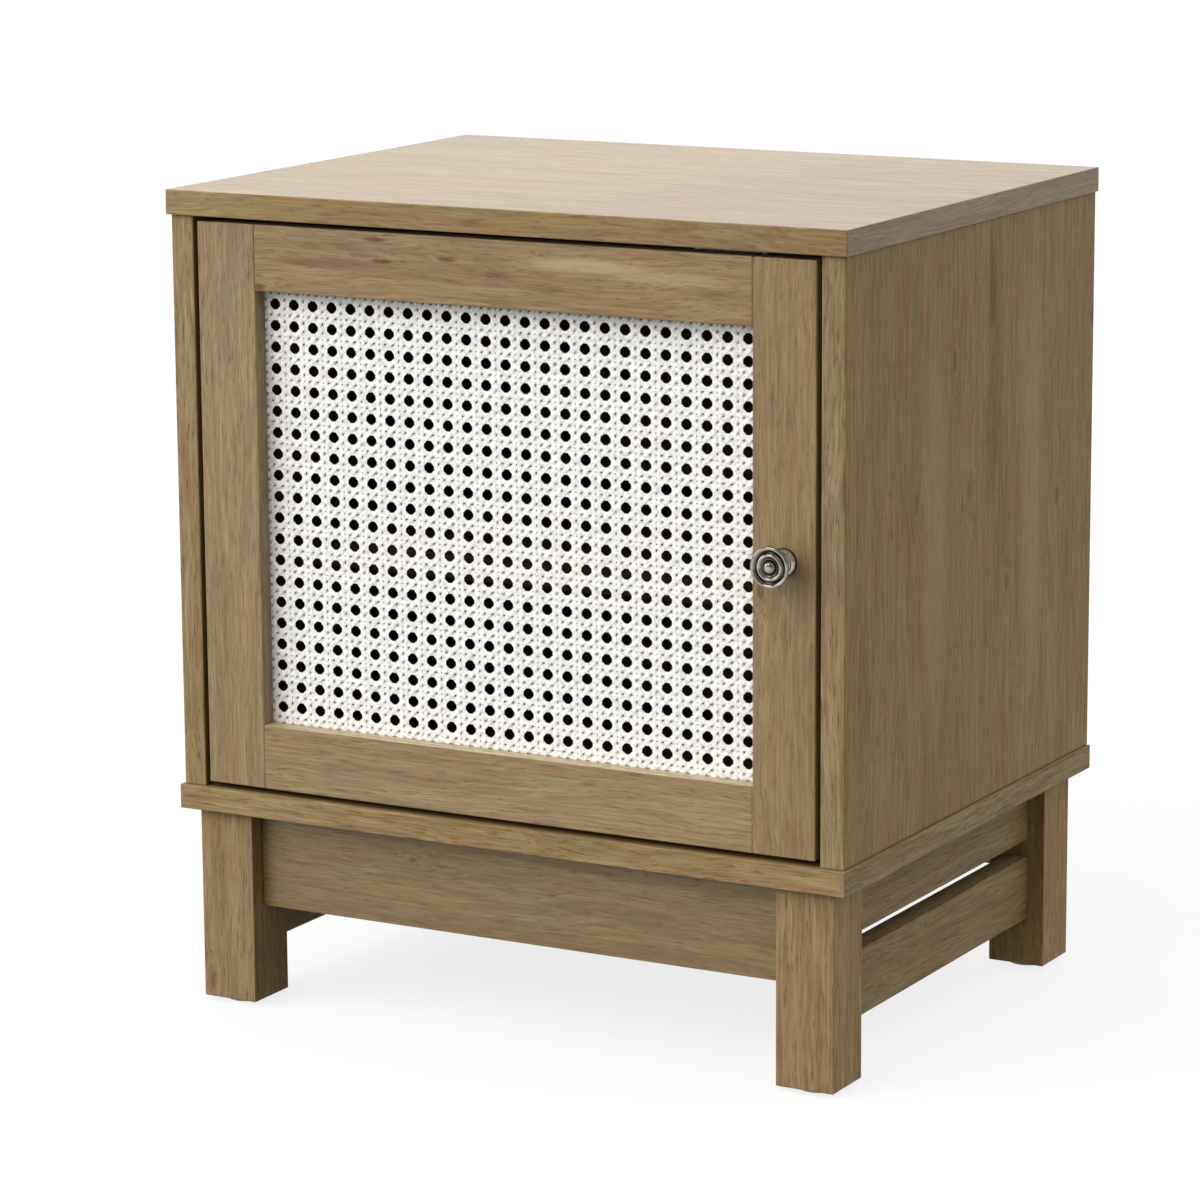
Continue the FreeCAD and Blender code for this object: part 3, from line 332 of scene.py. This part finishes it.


# Grain, show face, pattern shift in metres, tone, spread, and the knots and veins of each oak-effect board.
# Some tones are painted light or shade: the top's 1.4 is a painted sheen and brighter light, the front
# apron's
# 0.76 a painted shade under the bottom panel, and the shelf's 0.42 a painted shade inside the cabinet
OAK_BOARDS = {
    "top_panel": ("X", "Z", (0.31, 0.12, 0.05), (1.4, 1.34, 1.1), WIDE,
                  ((90, 90, 160, 12, 0.2), (-60, 20, 150, 9, 0.16), (130, -10, 120, 11, 0.2),
                   (215, 0, 250, 300, 0.3))),
    "bottom_panel": ("X", "Z", (1.73, 0.41, 0.22), (1.0, 1.0, 1.0), NARROW, ()),
    "left_side_panel": ("Z", "X", (2.11, 0.07, 0.93), (1.02, 0.98, 0.87), WIDE,
                        ((-62, 425, 60, 9, 0.4), (20, 300, 120, 15, 0.24), (92, 236, 9, 3.5, 0.6),
                         (-112, 352, 9, 3.2, 0.6), (-28, 214, 8, 3, 0.6), (136, 410, 8, 3, 0.55),
                         (64, 380, 150, 20, -0.2), (-90, 250, 150, 18, -0.18))),
    "right_side_panel": ("Z", "X", (3.37, 0.58, 0.31), (1.07, 1.03, 0.89), WIDE,
                         ((33, 448, 44, 8, 0.55), (38, 400, 110, 15, 0.3), (48, 310, 90, 13, 0.22),
                          (56, 264, 9, 3.5, 0.6), (-20, 408, 9, 3.2, 0.8), (85, 408, 8, 3, 0.5),
                          (-71, 333, 8, 3, 0.6), (1, 327, 8, 3, 0.55), (130, 304, 8, 3, 0.6),
                          (181, 409, 9, 4, 0.7), (-140, 225, 60, 8, 0.25), (-45, 300, 150, 20, -0.24),
                          (90, 330, 150, 18, -0.22))),
    "shelf": ("X", "Z", (4.19, 0.77, 0.13), (0.42, 0.39, 0.36), NARROW, ()),
    "front_left_leg": ("Z", "Y", (5.23, 0.15, 0.61), (1.05, 1.09, 1.2), NARROW, ((-208, 14, 7, 3, 0.5),)),
    "front_right_leg": ("Z", "Y", (6.41, 0.36, 0.27), (1.02, 1.0, 1.08), NARROW, ()),
    "rear_left_leg": ("Z", "Y", (7.07, 0.83, 0.45), (1.0, 1.0, 1.0), NARROW, ()),
    "rear_right_leg": ("Z", "Y", (8.53, 0.29, 0.79), (1.1, 1.08, 1.0), NARROW, ()),
    "front_apron": ("X", "Y", (9.17, 0.64, 0.34), (0.76, 0.74, 0.65), NARROW, ((-71, 104, 3.4, 2.0, 1.0),)),
    "rear_apron": ("X", "Y", (10.61, 0.22, 0.18), (1.0, 1.0, 1.0), NARROW, ()),
    "left_upper_rail": ("Y", "X", (11.29, 0.47, 0.55), (1.0, 1.0, 1.0), NARROW, ()),
    "left_lower_rail": ("Y", "X", (12.83, 0.91, 0.09), (1.0, 1.0, 1.0), NARROW, ()),
    "right_upper_rail": ("Y", "X", (13.37, 0.33, 0.67), (0.98, 0.95, 0.9), NARROW, ()),
    "right_lower_rail": ("Y", "X", (14.05, 0.71, 0.25), (0.98, 0.95, 0.9), NARROW, ()),
    "hinge_stile": ("Z", "Y", (15.47, 0.19, 0.43), (0.97, 0.97, 0.97), NARROW, ()),
    "knob_stile": ("Z", "Y", (16.13, 0.52, 0.87), (0.88, 0.84, 0.77), NARROW, ((170, 293, 5.5, 3.2, 0.8),)),
    "door_top_rail": ("X", "Y", (17.59, 0.28, 0.36), (0.97, 0.95, 0.92), NARROW,
                      ((-81.6, 477.4, 9, 1.7, 1.0), (-77, 465.2, 9, 1.8, 1.0), (-33, 468.6, 8, 1.8, 1.0),
                       (-162, 445, 6, 2.2, 0.9), (-125, 474, 45, 5, 0.28), (-100, 462, 60, 4, 0.24),
                       (0, 458, 70, 5, 0.24), (60, 470, 50, 5, -0.5), (110, 466, 50, 5, -0.3))),
    "door_bottom_rail": ("X", "Y", (18.31, 0.66, 0.58), (0.96, 0.96, 0.96), NARROW, ()),
}
for board, finish in OAK_BOARDS.items():
    nodes[board].material_slots[0].material = oak_foil(board, *finish)


# Fittings and the back

def plain_finish(name, dark, pale, grit, roughness, metallic=0.0, bump=0.0):
    """A finish whose colour and gloss vary a little from place to place. Grit is the pattern's size and bump
    its height, in mm."""
    material, tree, shader = new_material(name)
    place = add(tree, "TexCoord")
    scaled = add(tree, "Mapping", {"Vector": place.outputs["Object"], "Scale": scale_of(grit, grit, grit)})
    cloud = add(tree, "TexNoise", {"Vector": scaled.outputs[0], "Scale": 1.0, "Detail": 4.0})
    colour = add(tree, "ValToRGB", {0: cloud.outputs[0]}, ramp=[(0.32, dark), (0.68, pale)])
    gloss = add(tree, "MapRange", {"Value": cloud.outputs[0], "From Min": NOISE_LOW, "From Max": NOISE_HIGH,
                                   "To Min": roughness * 0.85, "To Max": roughness * 1.15})
    tree.links.new(colour.outputs[0], shader.inputs["Base Color"])
    tree.links.new(gloss.outputs[0], shader.inputs["Roughness"])
    shader.inputs["Metallic"].default_value = metallic
    if bump:
        relief = add(tree, "Bump", {"Height": cloud.outputs[0], "Strength": 0.4, "Distance": bump * MM})
        tree.links.new(relief.outputs[0], shader.inputs["Normal"])
    return material


SLOT_FINISH = {
    # Beech: planed and turned strips and dowels, pale pinkish tan with faint flecks.
    "beech": plain_finish("planed_beech", "#B48D63", "#CDAA80", 3.0, 0.55, bump=0.05),
    # Nickel-plated pressed steel: grey-white metal with a soft satin sheen.
    "hinge_steel": plain_finish("nickel_plated_steel", "#B3B2AE", "#C6C5C1", 6.0, 0.26, metallic=1.0),
    # Zinc-plated screw steel: slightly blue, a little duller than the hinges.
    "zinc_steel": plain_finish("zinc_plated_steel", "#A9ACB0", "#BFC1C3", 2.5, 0.34, metallic=1.0),
    # Die-cast zinc: dull grey with a mottled cast skin.
    "zinc_casting": plain_finish("cast_zinc", "#8F9193", "#A5A7A8", 1.6, 0.48, metallic=1.0, bump=0.05),
    # Moulded white plastic: warm, slightly grey white with a fine moulded texture.
    "white_plastic": plain_finish("moulded_white_plastic", "#C6C5BF", "#D2D1CB", 1.2, 0.45, bump=0.03),
    # Sintered ferrite: near-black ceramic with a fine grain.
    "ferrite": plain_finish("sintered_ferrite", "#242527", "#34353A", 0.8, 0.6, bump=0.03),
    # Moulded glide: grey-white polyethylene, slightly waxy.
    "glide_plastic": plain_finish("moulded_grey_plastic", "#BDBAB2", "#CBC8C0", 2.0, 0.4, bump=0.02),
}
for part in frame["record"]["subparts"]:
    if part["material_slot"] in SLOT_FINISH:
        nodes[part["node"]].material_slots[0].material = SLOT_FINISH[part["material_slot"]]


def back_board():
    """Thin fibreboard: oak foil on the inner face, plain brown fibre with pressed specks on the outer one.
    The specks are drawn 1 to 3 mm wide, coarser than real fibres, so that they show."""
    material, tree, shader = new_material("foiled_fibreboard")
    foil = oak_colour(tree, "back_panel", "Z", "Y", (19.7, 0.4, 0.2), (1, 1, 1), WIDE, ())[0]
    place = add(tree, "TexCoord")
    fine = add(tree, "Mapping", {"Vector": place.outputs["Object"], "Scale": scale_of(1.2, 1.2, 3)})
    fibre = add(tree, "TexNoise", {"Vector": fine.outputs[0], "Scale": 1.0, "Detail": 5.0, "Roughness": 0.7})
    brown = add(tree, "ValToRGB", {0: fibre.outputs[0]},
                ramp=[(0.30, "#6F5438"), (0.5, "#86694A"), (0.7, "#9C805E")])
    facing = add(tree, "VectorMath", {0: place.outputs["Normal"], 1: AXIS["Y"]}, operation="DOT_PRODUCT")
    outer = add(tree, "Math", {0: facing.outputs["Value"], 1: 0.5}, operation="GREATER_THAN")
    both = add(tree, "Mix", {0: outer.outputs[0], COLOUR_A: foil, COLOUR_B: brown.outputs[0]},
               data_type="RGBA")
    relief = add(tree, "Bump", {"Height": fibre.outputs[0], "Strength": 0.3, "Distance": 0.08 * MM})
    tree.links.new(both.outputs[COLOUR_OUT], shader.inputs["Base Color"])
    tree.links.new(relief.outputs[0], shader.inputs["Normal"])
    shader.inputs["Roughness"].default_value = 0.6
    return material


nodes["back_panel"].material_slots[0].material = back_board()


# Modelling

SMOOTH_BELOW = math.radians(40)
MERGE_WITHIN = 0.01 * MM


def start_piece(name, sides, radius, place, turn=(0, 0, 0), fill="NGON"):
    """Adds a disc or ring as the start of a new piece and opens it for editing."""
    bpy.ops.object.select_all(action="DESELECT")
    bpy.ops.mesh.primitive_circle_add(vertices=sides, radius=radius, fill_type=fill, location=place,
                                      rotation=turn)
    piece = bpy.context.object
    piece.name = name
    bpy.ops.object.mode_set(mode="EDIT")
    return piece


def end_piece(piece, body, slot, material, *replaced):
    """Puts the piece's place into its mesh, gives it its material and its body, and hides the nodes it stands
    for. The slot is not used.
    """
    bpy.ops.object.mode_set(mode="OBJECT")
    bpy.ops.object.transform_apply(location=True, rotation=True, scale=True)
    bpy.ops.object.mode_set(mode="EDIT")
    bpy.ops.mesh.select_all(action="SELECT")
    bpy.ops.mesh.normals_make_consistent(inside=False)
    bpy.ops.object.mode_set(mode="OBJECT")
    bpy.ops.object.shade_smooth_by_angle(angle=SMOOTH_BELOW)
    piece.data.name = piece.name
    piece.data.materials.clear()
    piece.data.materials.append(material)
    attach(piece, body)
    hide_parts(*replaced)


# Turned knob: a flared base, a beaded neck and a disc with a bead and a button, from the door outwards.
# Each ring is its radius and its distance from the door, in mm.
KNOB_SIDES = 56
KNOB_RADIUS = 12.0 * MM
KNOB_FOOT = 8.3
KNOB_RINGS = (
    (8.3, 1.2), (8.0, 2.1), (7.3, 2.8), (6.5, 3.2), (6.3, 3.6), (6.5, 4.1), (6.4, 4.8), (5.9, 5.4),
    (5.2, 5.9), (4.8, 6.5), (4.8, 7.1), (5.3, 7.6), (5.9, 8.2), (6.1, 8.9), (5.8, 9.6), (5.2, 10.1),
    (5.0, 10.7), (5.3, 11.6), (6.3, 12.8), (8.0, 14.2), (9.8, 15.4), (11.2, 16.3), (11.8, 17.0),
    (12.0, 17.6), (11.9, 18.2), (11.5, 18.6), (10.9, 18.8), (10.3, 18.6), (9.7, 18.1), (9.2, 17.6),
    (8.7, 17.4), (8.3, 17.6), (7.9, 18.3), (7.4, 18.8), (6.8, 18.9), (6.2, 18.6), (5.7, 18.0),
    (5.3, 17.6), (4.8, 17.4), (4.3, 17.4), (3.9, 17.8), (3.5, 18.5), (3.0, 19.2), (2.4, 19.65),
    (1.6, 19.9), (0.8, 20.0),
)
# the plate's colour from the axis to the rim, in shares of the radius: bright on rings, dark in grooves
KNOB_COLOURS = [
    (0.0, "#C6C1B6"), (0.24, "#8F8A80"), (0.34, "#2C2923"), (0.44, "#767168"), (0.58, "#C2BDB2"),
    (0.67, "#767168"), (0.73, "#2E2B25"), (0.79, "#767168"), (0.90, "#B9B4A9"), (1.0, "#7A756C"),
]
# the distance between the lathe rings, and the size of the worn patches
LATHE_STEP, WORN_PATCH = 0.5 * MM, 3 * MM


def antique_nickel(axis):
    """Turned nickel plate, polished on the raised rings and left dark in the grooves, with faint lathe rings
    about the knob's axis. The lathe rings are coarser than real ones, so that they show."""
    material, tree, shader = new_material("antique_nickel")
    place = add(tree, "TexCoord")
    centred = add(tree, "VectorMath", {0: place.outputs["Object"], 1: axis}, operation="SUBTRACT")
    flat = add(tree, "VectorMath", {0: centred.outputs[0], 1: (1, 0, 1)}, operation="MULTIPLY")
    out = add(tree, "VectorMath", {0: flat.outputs[0]}, operation="LENGTH").outputs["Value"]
    turns = add(tree, "Math", {0: out, 1: 2 * math.pi / LATHE_STEP}, operation="MULTIPLY")
    rings = add(tree, "Math", {0: turns.outputs[0]}, operation="SINE")
    share = add(tree, "Math", {0: out, 1: KNOB_RADIUS}, operation="DIVIDE")
    grooves = add(tree, "ValToRGB", {0: share.outputs[0]}, ramp=KNOB_COLOURS)
    cloud = add(tree, "TexNoise", {"Vector": centred.outputs[0], "Scale": 1 / WORN_PATCH, "Detail": 3.0})
    worn = add(tree, "ValToRGB", {0: cloud.outputs[0]}, ramp=[(0.3, "#D6D3CD"), (0.7, "#FFFFFF")])
    colour = add(tree, "Mix", {0: 1.0, COLOUR_A: grooves.outputs[0], COLOUR_B: worn.outputs[0]},
                 data_type="RGBA", blend_type="MULTIPLY")
    gloss = add(tree, "MapRange", {"Value": cloud.outputs[0], "From Min": NOISE_LOW, "From Max": NOISE_HIGH,
                                   "To Min": 0.08, "To Max": 0.15})
    relief = add(tree, "Bump", {"Height": rings.outputs[0], "Strength": 0.08, "Distance": 0.02 * MM})
    tree.links.new(colour.outputs[COLOUR_OUT], shader.inputs["Base Color"])
    tree.links.new(gloss.outputs[0], shader.inputs["Roughness"])
    tree.links.new(relief.outputs[0], shader.inputs["Normal"])
    shader.inputs["Metallic"].default_value = 1.0
    return material


def turned_knob():
    low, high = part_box("knob")
    foot = ((low.x + high.x) / 2, door_front, (low.z + high.z) / 2)
    radius, out = KNOB_FOOT, 0.0
    piece = start_piece("turned_knob", KNOB_SIDES, radius * MM, foot, (math.pi / 2, 0, 0))
    for next_radius, next_out in KNOB_RINGS:
        bpy.ops.mesh.extrude_region_move(TRANSFORM_OT_translate={"value": (0, (out - next_out) * MM, 0)})
        ratio = next_radius / radius
        bpy.ops.transform.resize(value=(ratio, 1, ratio), center_override=foot)
        radius, out = next_radius, next_out
    end_piece(piece, "door", "nickel", antique_nickel(foot), "knob")


turned_knob()

# Woven cane: pairs of strands run up and across midway between the holes, and single strands cross on both
# diagonals. Each strand is flat, and it rises and dips past the ones that it meets.
HOLE_STEP_X, HOLE_STEP_Z = 13.12 * MM, 12.86 * MM
FIRST_HOLE_X, FIRST_HOLE_Z = -157.9 * MM, 433.8 * MM
STRAND_SIDES = 6
STRAND_THICK = 0.30 * MM
# the width of the strands, and the distance between the two of a pair
UPRIGHT_WIDE, UPRIGHT_APART = 3.18 * MM, 3.48 * MM
ACROSS_WIDE, ACROSS_APART = 3.23 * MM, 3.53 * MM
DIAGONAL_WIDE = 3.2 * MM
# how far strands rise and dip, the length of a pair's slope beside a crossing, and the steps of a diagonal
# from one hole to the next
PAIR_RISE, DIAGONAL_RISE = 0.17 * MM, 0.40 * MM
PAIR_SLOPE = 1.3 * MM
DIAGONAL_STEPS = 8
# the weave is laid out larger than the panel and then trimmed
WEAVE_ROWS, WEAVE_COLUMNS = 24, 30
WEAVE_LEFT = FIRST_HOLE_X - HOLE_STEP_X * 2.5
WEAVE_BOTTOM = FIRST_HOLE_Z - HOLE_STEP_Z * 22
# the small gaps' distance from a crossing along both diagonals, and the reach of the painted shade round each
# gap
GAP_OUT = 2.66 * MM
GAP_SHADE_LONG, GAP_SHADE_WIDE = 2.7 * MM, 1.5 * MM

cane_low, cane_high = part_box("cane_panel")
cane_middle = (cane_low.y + cane_high.y) / 2


def painted_cane():
    """Split rattan bark painted white: matt strands with a faint mottle, white round the holes, and a painted
    shade, grey round the small gaps where the strands meet and drawn out along one diagonal."""
    material, tree, shader = new_material("white_painted_cane")
    place = add(tree, "TexCoord")
    # the place within one repeat of the weave, from the crossing at its middle
    first = Vector((FIRST_HOLE_X, -1, FIRST_HOLE_Z))
    step = Vector((HOLE_STEP_X, 2, HOLE_STEP_Z))
    within = add(tree, "VectorMath", {0: place.outputs["Object"], 1: first + step, 2: first},
                 operation="WRAP")
    centred = add(tree, "VectorMath", {0: within.outputs[0], 1: first + step / 2}, operation="SUBTRACT")
    leaning = add(tree, "Mapping", {"Vector": centred.outputs[0], "Rotation": (0, math.pi / 4, 0)})
    folded = add(tree, "VectorMath", {0: leaning.outputs[0]}, operation="ABSOLUTE")
    gap_shade_space = add(tree, "Mapping", {"Vector": folded.outputs[0],
                                   "Scale": (1 / GAP_SHADE_LONG, 0, 1 / GAP_SHADE_WIDE),
                                   "Location": (-GAP_OUT / GAP_SHADE_LONG, 0, -GAP_OUT / GAP_SHADE_WIDE)})
    away = add(tree, "VectorMath", {0: gap_shade_space.outputs[0]}, operation="LENGTH").outputs["Value"]
    fine = add(tree, "Mapping", {"Vector": place.outputs["Object"], "Scale": scale_of(1.9, 1.9, 1.9)})
    mottle = add(tree, "TexNoise", {"Vector": fine.outputs[0], "Scale": 1.0, "Detail": 3.0}).outputs[0]
    paint = add(tree, "ValToRGB", {0: mottle}, ramp=[(0.30, "#D5D3CC"), (0.62, "#F6F5F2")])
    # painted shade: grey round each small gap, longer along one diagonal
    painted_gap_shade = add(tree, "ValToRGB", {0: away}, ramp=[(0.12, "#C0BEB8"), (0.95, "#FFFFFF")])
    colour = add(tree, "Mix", {0: 1.0, COLOUR_A: paint.outputs[0], COLOUR_B: painted_gap_shade.outputs[0]},
                 data_type="RGBA", blend_type="MULTIPLY")
    gloss = add(tree, "MapRange", {"Value": mottle, "From Min": NOISE_LOW, "From Max": NOISE_HIGH,
                                   "To Min": 0.68, "To Max": 0.54})
    relief = add(tree, "Bump", {"Height": mottle, "Strength": 0.4, "Distance": 0.08 * MM})
    tree.links.new(colour.outputs[COLOUR_OUT], shader.inputs["Base Color"])
    tree.links.new(gloss.outputs[0], shader.inputs["Roughness"])
    tree.links.new(relief.outputs[0], shader.inputs["Normal"])
    return material


def strand(name, width, steps, count):
    """One flat strand along Z: each step gives the height along it and how far it stands to the back."""
    # a ring one metre across, brought to the strand's width and thickness
    piece = start_piece(name, STRAND_SIDES, 0.5, (0, 0, 0), fill="NOTHING")
    bpy.ops.mesh.select_all(action="SELECT")
    thickness = STRAND_THICK / math.cos(math.pi / STRAND_SIDES)
    bpy.ops.transform.resize(value=(width, thickness, 1), center_override=(0, 0, 0))
    length, rise = steps[0]
    bpy.ops.transform.translate(value=(0, rise, length))
    for next_length, next_rise in steps[1:]:
        move = (0, next_rise - rise, next_length - length)
        bpy.ops.mesh.extrude_region_move(TRANSFORM_OT_translate={"value": move})
        length, rise = next_length, next_rise
    bpy.ops.object.mode_set(mode="OBJECT")
    repeat(piece, (0, 0, steps[-1][0] - steps[0][0]), count, True)
    return piece


def repeat(piece, offset, count, joined):
    """Sets out copies in the mesh, joined end to end for one strand or apart for rows of them."""
    rows = piece.modifiers.new("rows", "ARRAY")
    rows.use_relative_offset = False
    rows.use_constant_offset = True
    rows.constant_offset_displace = offset
    rows.count = count
    rows.use_merge_vertices = joined
    rows.merge_threshold = MERGE_WITHIN
    bpy.ops.object.modifier_apply(modifier=rows.name)


def place_strands(piece, turn, start, offset, count):
    """Turns a strand in the plane of the panel, moves it to its place and repeats it across the panel."""
    bpy.ops.object.select_all(action="DESELECT")
    piece.select_set(True)
    bpy.context.view_layer.objects.active = piece
    piece.rotation_euler = (0, turn, 0)
    piece.location = start
    bpy.ops.object.transform_apply(location=True, rotation=True, scale=True)
    repeat(piece, offset, count, False)


def join_and_trim(strands, name, material):
    """Joins the strands into one piece and cuts it square at the edges of the panel, with closed ends."""
    bpy.ops.object.select_all(action="DESELECT")
    for piece in strands:
        piece.select_set(True)
    bpy.context.view_layer.objects.active = strands[0]
    bpy.ops.object.join()
    piece = strands[0]
    piece.name = name
    bpy.ops.object.mode_set(mode="EDIT")
    for axis in ("X", "Z"):
        for corner, side in ((cane_low, -1), (cane_high, 1)):
            bpy.ops.mesh.select_all(action="SELECT")
            bpy.ops.mesh.bisect(plane_co=corner, plane_no=side * Vector(AXIS[axis]), use_fill=True,
                                clear_outer=True)
    end_piece(piece, "door", "cane", material, "cane_panel")


def pair_steps(step, apart, sign):
    """A strand of a pair goes in front of one strand of the crossing pair and behind the other."""
    half, crossing = step / 2, apart / 2
    rise = PAIR_RISE * sign
    return [(0, 0), (half - crossing - PAIR_SLOPE, rise / 2), (half - crossing, rise), (half, 0),
            (half + crossing, -rise), (half + crossing + PAIR_SLOPE, -rise / 2), (step, 0)]


def diagonal_steps(length, sign):
    """A diagonal strand goes in front of one pair and behind the next."""
    shares = [i / DIAGONAL_STEPS for i in range(DIAGONAL_STEPS + 1)]
    return [(length * share, DIAGONAL_RISE * sign * math.cos(2 * math.pi * share)) for share in shares]


def woven_cane():
    material = painted_cane()
    uprights, across, diagonals = [], [], []
    for sign in (1, -1):
        piece = strand("upright", UPRIGHT_WIDE, pair_steps(HOLE_STEP_Z, ACROSS_APART, sign), WEAVE_ROWS)
        start = (WEAVE_LEFT + sign * UPRIGHT_APART / 2, cane_middle, WEAVE_BOTTOM)
        place_strands(piece, 0, start, (HOLE_STEP_X, 0, 0), WEAVE_COLUMNS)
        uprights.append(piece)
    join_and_trim(uprights, "cane_uprights", material)
    for sign in (1, -1):
        piece = strand("crosswise", ACROSS_WIDE, pair_steps(HOLE_STEP_X, UPRIGHT_APART, sign), WEAVE_COLUMNS)
        start = (WEAVE_LEFT - HOLE_STEP_X / 2, cane_middle,
                 WEAVE_BOTTOM - HOLE_STEP_Z / 2 - sign * ACROSS_APART / 2)
        place_strands(piece, math.pi / 2, start, (0, 0, HOLE_STEP_Z), WEAVE_ROWS)
        across.append(piece)
    join_and_trim(across, "cane_crosswise", material)
    length = math.hypot(HOLE_STEP_X, HOLE_STEP_Z)
    lean = math.atan2(HOLE_STEP_X, HOLE_STEP_Z)
    for sign in (1, -1):
        piece = strand("diagonal", DIAGONAL_WIDE, diagonal_steps(length, sign), WEAVE_ROWS)
        left = WEAVE_LEFT if sign < 0 else WEAVE_LEFT - HOLE_STEP_X * WEAVE_ROWS
        place_strands(piece, sign * lean, (left, cane_middle, WEAVE_BOTTOM), (HOLE_STEP_X, 0, 0),
                      WEAVE_COLUMNS + WEAVE_ROWS)
        diagonals.append(piece)
    join_and_trim(diagonals, "cane_diagonals", material)


woven_cane()


# Studio: a pale floor, one soft lamp from the front left, a bright backdrop and a dimmer room before it.

FLOOR_SIZE = 120
FLOOR_GREY = (0.18, 0.18, 0.177, 1)
FLOOR_GLOW = 0.81
WHITE = (1, 1, 1, 1)

# the lamp's strength and spread, and where it and a second screen stand, seen from the table
LAMP_STRENGTH, LAMP_SPREAD = 2.48, math.radians(75)
KEY_FROM = Vector((-0.40, -0.74, 0.57)).normalized()
SIDE_FROM = Vector((-0.82, -0.52, 0.25)).normalized()
# a screen's brightness, and the angles where it ends and where it is full
SCREEN_GLOW = 4.0
SCREEN_END, SCREEN_FULL = math.radians(15), math.radians(11)
# the way to the backdrop, the room's brightness before it and on it, and how far towards it the room starts
# to brighten and is white
BACKDROP = (0.40, 0.88, 0.25)
ROOM_DIM, ROOM_WHITE = 0.25, 1.0
BRIGHTENS_FROM, WHITE_FROM = -0.5, 0.35


def pale_floor():
    bpy.ops.object.select_all(action="DESELECT")
    bpy.ops.mesh.primitive_plane_add(size=FLOOR_SIZE, location=(0, 0, 0))
    floor = bpy.context.object
    floor.name = "floor"
    material, tree, shader = new_material("pale_floor")
    # white to what the camera sees straight, in a reflection or through glass; other light meets a grey floor
    path = add(tree, "LightPath")
    mirrored = add(tree, "Math", {0: path.outputs["Is Camera Ray"], 1: path.outputs["Is Glossy Ray"]},
                   operation="MAXIMUM")
    seen = add(tree, "Math", {0: mirrored.outputs[0], 1: path.outputs["Is Transmission Ray"]},
               operation="MAXIMUM")
    glow = add(tree, "Math", {0: seen.outputs[0], 1: FLOOR_GLOW}, operation="MULTIPLY")
    shader.inputs["Base Color"].default_value = FLOOR_GREY
    shader.inputs["Roughness"].default_value = 0.9
    shader.inputs["Specular IOR Level"].default_value = 0.0
    shader.inputs["Emission Color"].default_value = WHITE
    tree.links.new(glow.outputs[0], shader.inputs["Emission Strength"])
    floor.data.materials.append(material)


def studio_light():
    """A soft lamp, and a room that is dim in front, with two pale screens in it, and white behind."""
    lamp = bpy.data.lights.new("soft_key", "SUN")
    lamp.energy = LAMP_STRENGTH
    lamp.angle = LAMP_SPREAD
    key = bpy.data.objects.new("soft_key", lamp)
    key.rotation_euler = KEY_FROM.to_track_quat("Z", "Y").to_euler()
    # gloss mirrors the screens in the room instead of the lamp
    key.visible_glossy = False
    bpy.context.collection.objects.link(key)
    world = bpy.data.worlds.new("studio")
    bpy.context.scene.world = world
    world.use_nodes = True
    tree = world.node_tree
    path = add(tree, "LightPath")
    place = add(tree, "TexCoord")
    behind = add(tree, "VectorMath", {0: place.outputs["Generated"], 1: BACKDROP}, operation="DOT_PRODUCT")
    lit = add(tree, "MapRange", {"Value": behind.outputs["Value"], "From Min": BRIGHTENS_FROM,
                                 "From Max": WHITE_FROM, "To Min": ROOM_DIM, "To Max": ROOM_WHITE},
              interpolation_type="SMOOTHSTEP").outputs[0]
    for screen_from in (KEY_FROM, SIDE_FROM):
        towards = add(tree, "VectorMath", {0: place.outputs["Generated"], 1: screen_from},
                      operation="DOT_PRODUCT")
        screen = add(tree, "MapRange", {"Value": towards.outputs["Value"], "From Min": math.cos(SCREEN_END),
                                        "From Max": math.cos(SCREEN_FULL), "To Min": 0.0,
                                        "To Max": SCREEN_GLOW}, interpolation_type="SMOOTHSTEP")
        lit = add(tree, "Math", {0: lit, 1: screen.outputs[0]}, operation="ADD").outputs[0]
    # white to what is seen straight or through glass; reflections keep the room, white behind the table
    seen = add(tree, "Math", {0: path.outputs["Is Camera Ray"], 1: path.outputs["Is Transmission Ray"]},
               operation="MAXIMUM")
    white = add(tree, "Mix", {0: seen.outputs[0], NUMBER_A: lit, NUMBER_B: 1.0}, data_type="FLOAT")
    tree.links.new(white.outputs[NUMBER_OUT], tree.nodes["Background"].inputs["Strength"])
    tree.nodes["Background"].inputs["Color"].default_value = WHITE


# The photograph's view: the angles of a long lens that stands to the front right, a little above the table,
# its distance from a point at half the table's height, and its shift to the side and upwards in metres
AZIMUTH, ELEVATION, ROLL = math.radians(29.145), math.radians(11.640), math.radians(-0.374)
SENSOR_WIDTH, LENS = 36, 138.045
TARGET_HEIGHT = 0.25
DISTANCE, SIDE_STEP, UP_STEP = 2.8217, -0.02519, -0.00940
FARTHEST = 200


def photo_camera():
    top_low, top_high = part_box("top_panel")
    target = Vector((0, (top_low.y + top_high.y) / 2, TARGET_HEIGHT))
    back = Vector((math.sin(AZIMUTH) * math.cos(ELEVATION), -math.cos(AZIMUTH) * math.cos(ELEVATION),
                   math.sin(ELEVATION)))
    right = Vector((math.cos(AZIMUTH), math.sin(AZIMUTH), 0))
    up = back.cross(right)
    across = right * math.cos(ROLL) + up * math.sin(ROLL)
    upward = up * math.cos(ROLL) - right * math.sin(ROLL)
    lens = bpy.data.cameras.new("camera")
    lens.sensor_width = SENSOR_WIDTH
    lens.lens = LENS
    lens.clip_end = FARTHEST
    camera = bpy.data.objects.new("camera", lens)
    camera.rotation_euler = Matrix((across, upward, back)).transposed().to_euler()
    camera.location = target + back * DISTANCE + across * SIDE_STEP + upward * UP_STEP
    bpy.context.collection.objects.link(camera)
    bpy.context.scene.camera = camera


pale_floor()
studio_light()
photo_camera()
bpy.context.scene.view_settings.view_transform = "Standard"
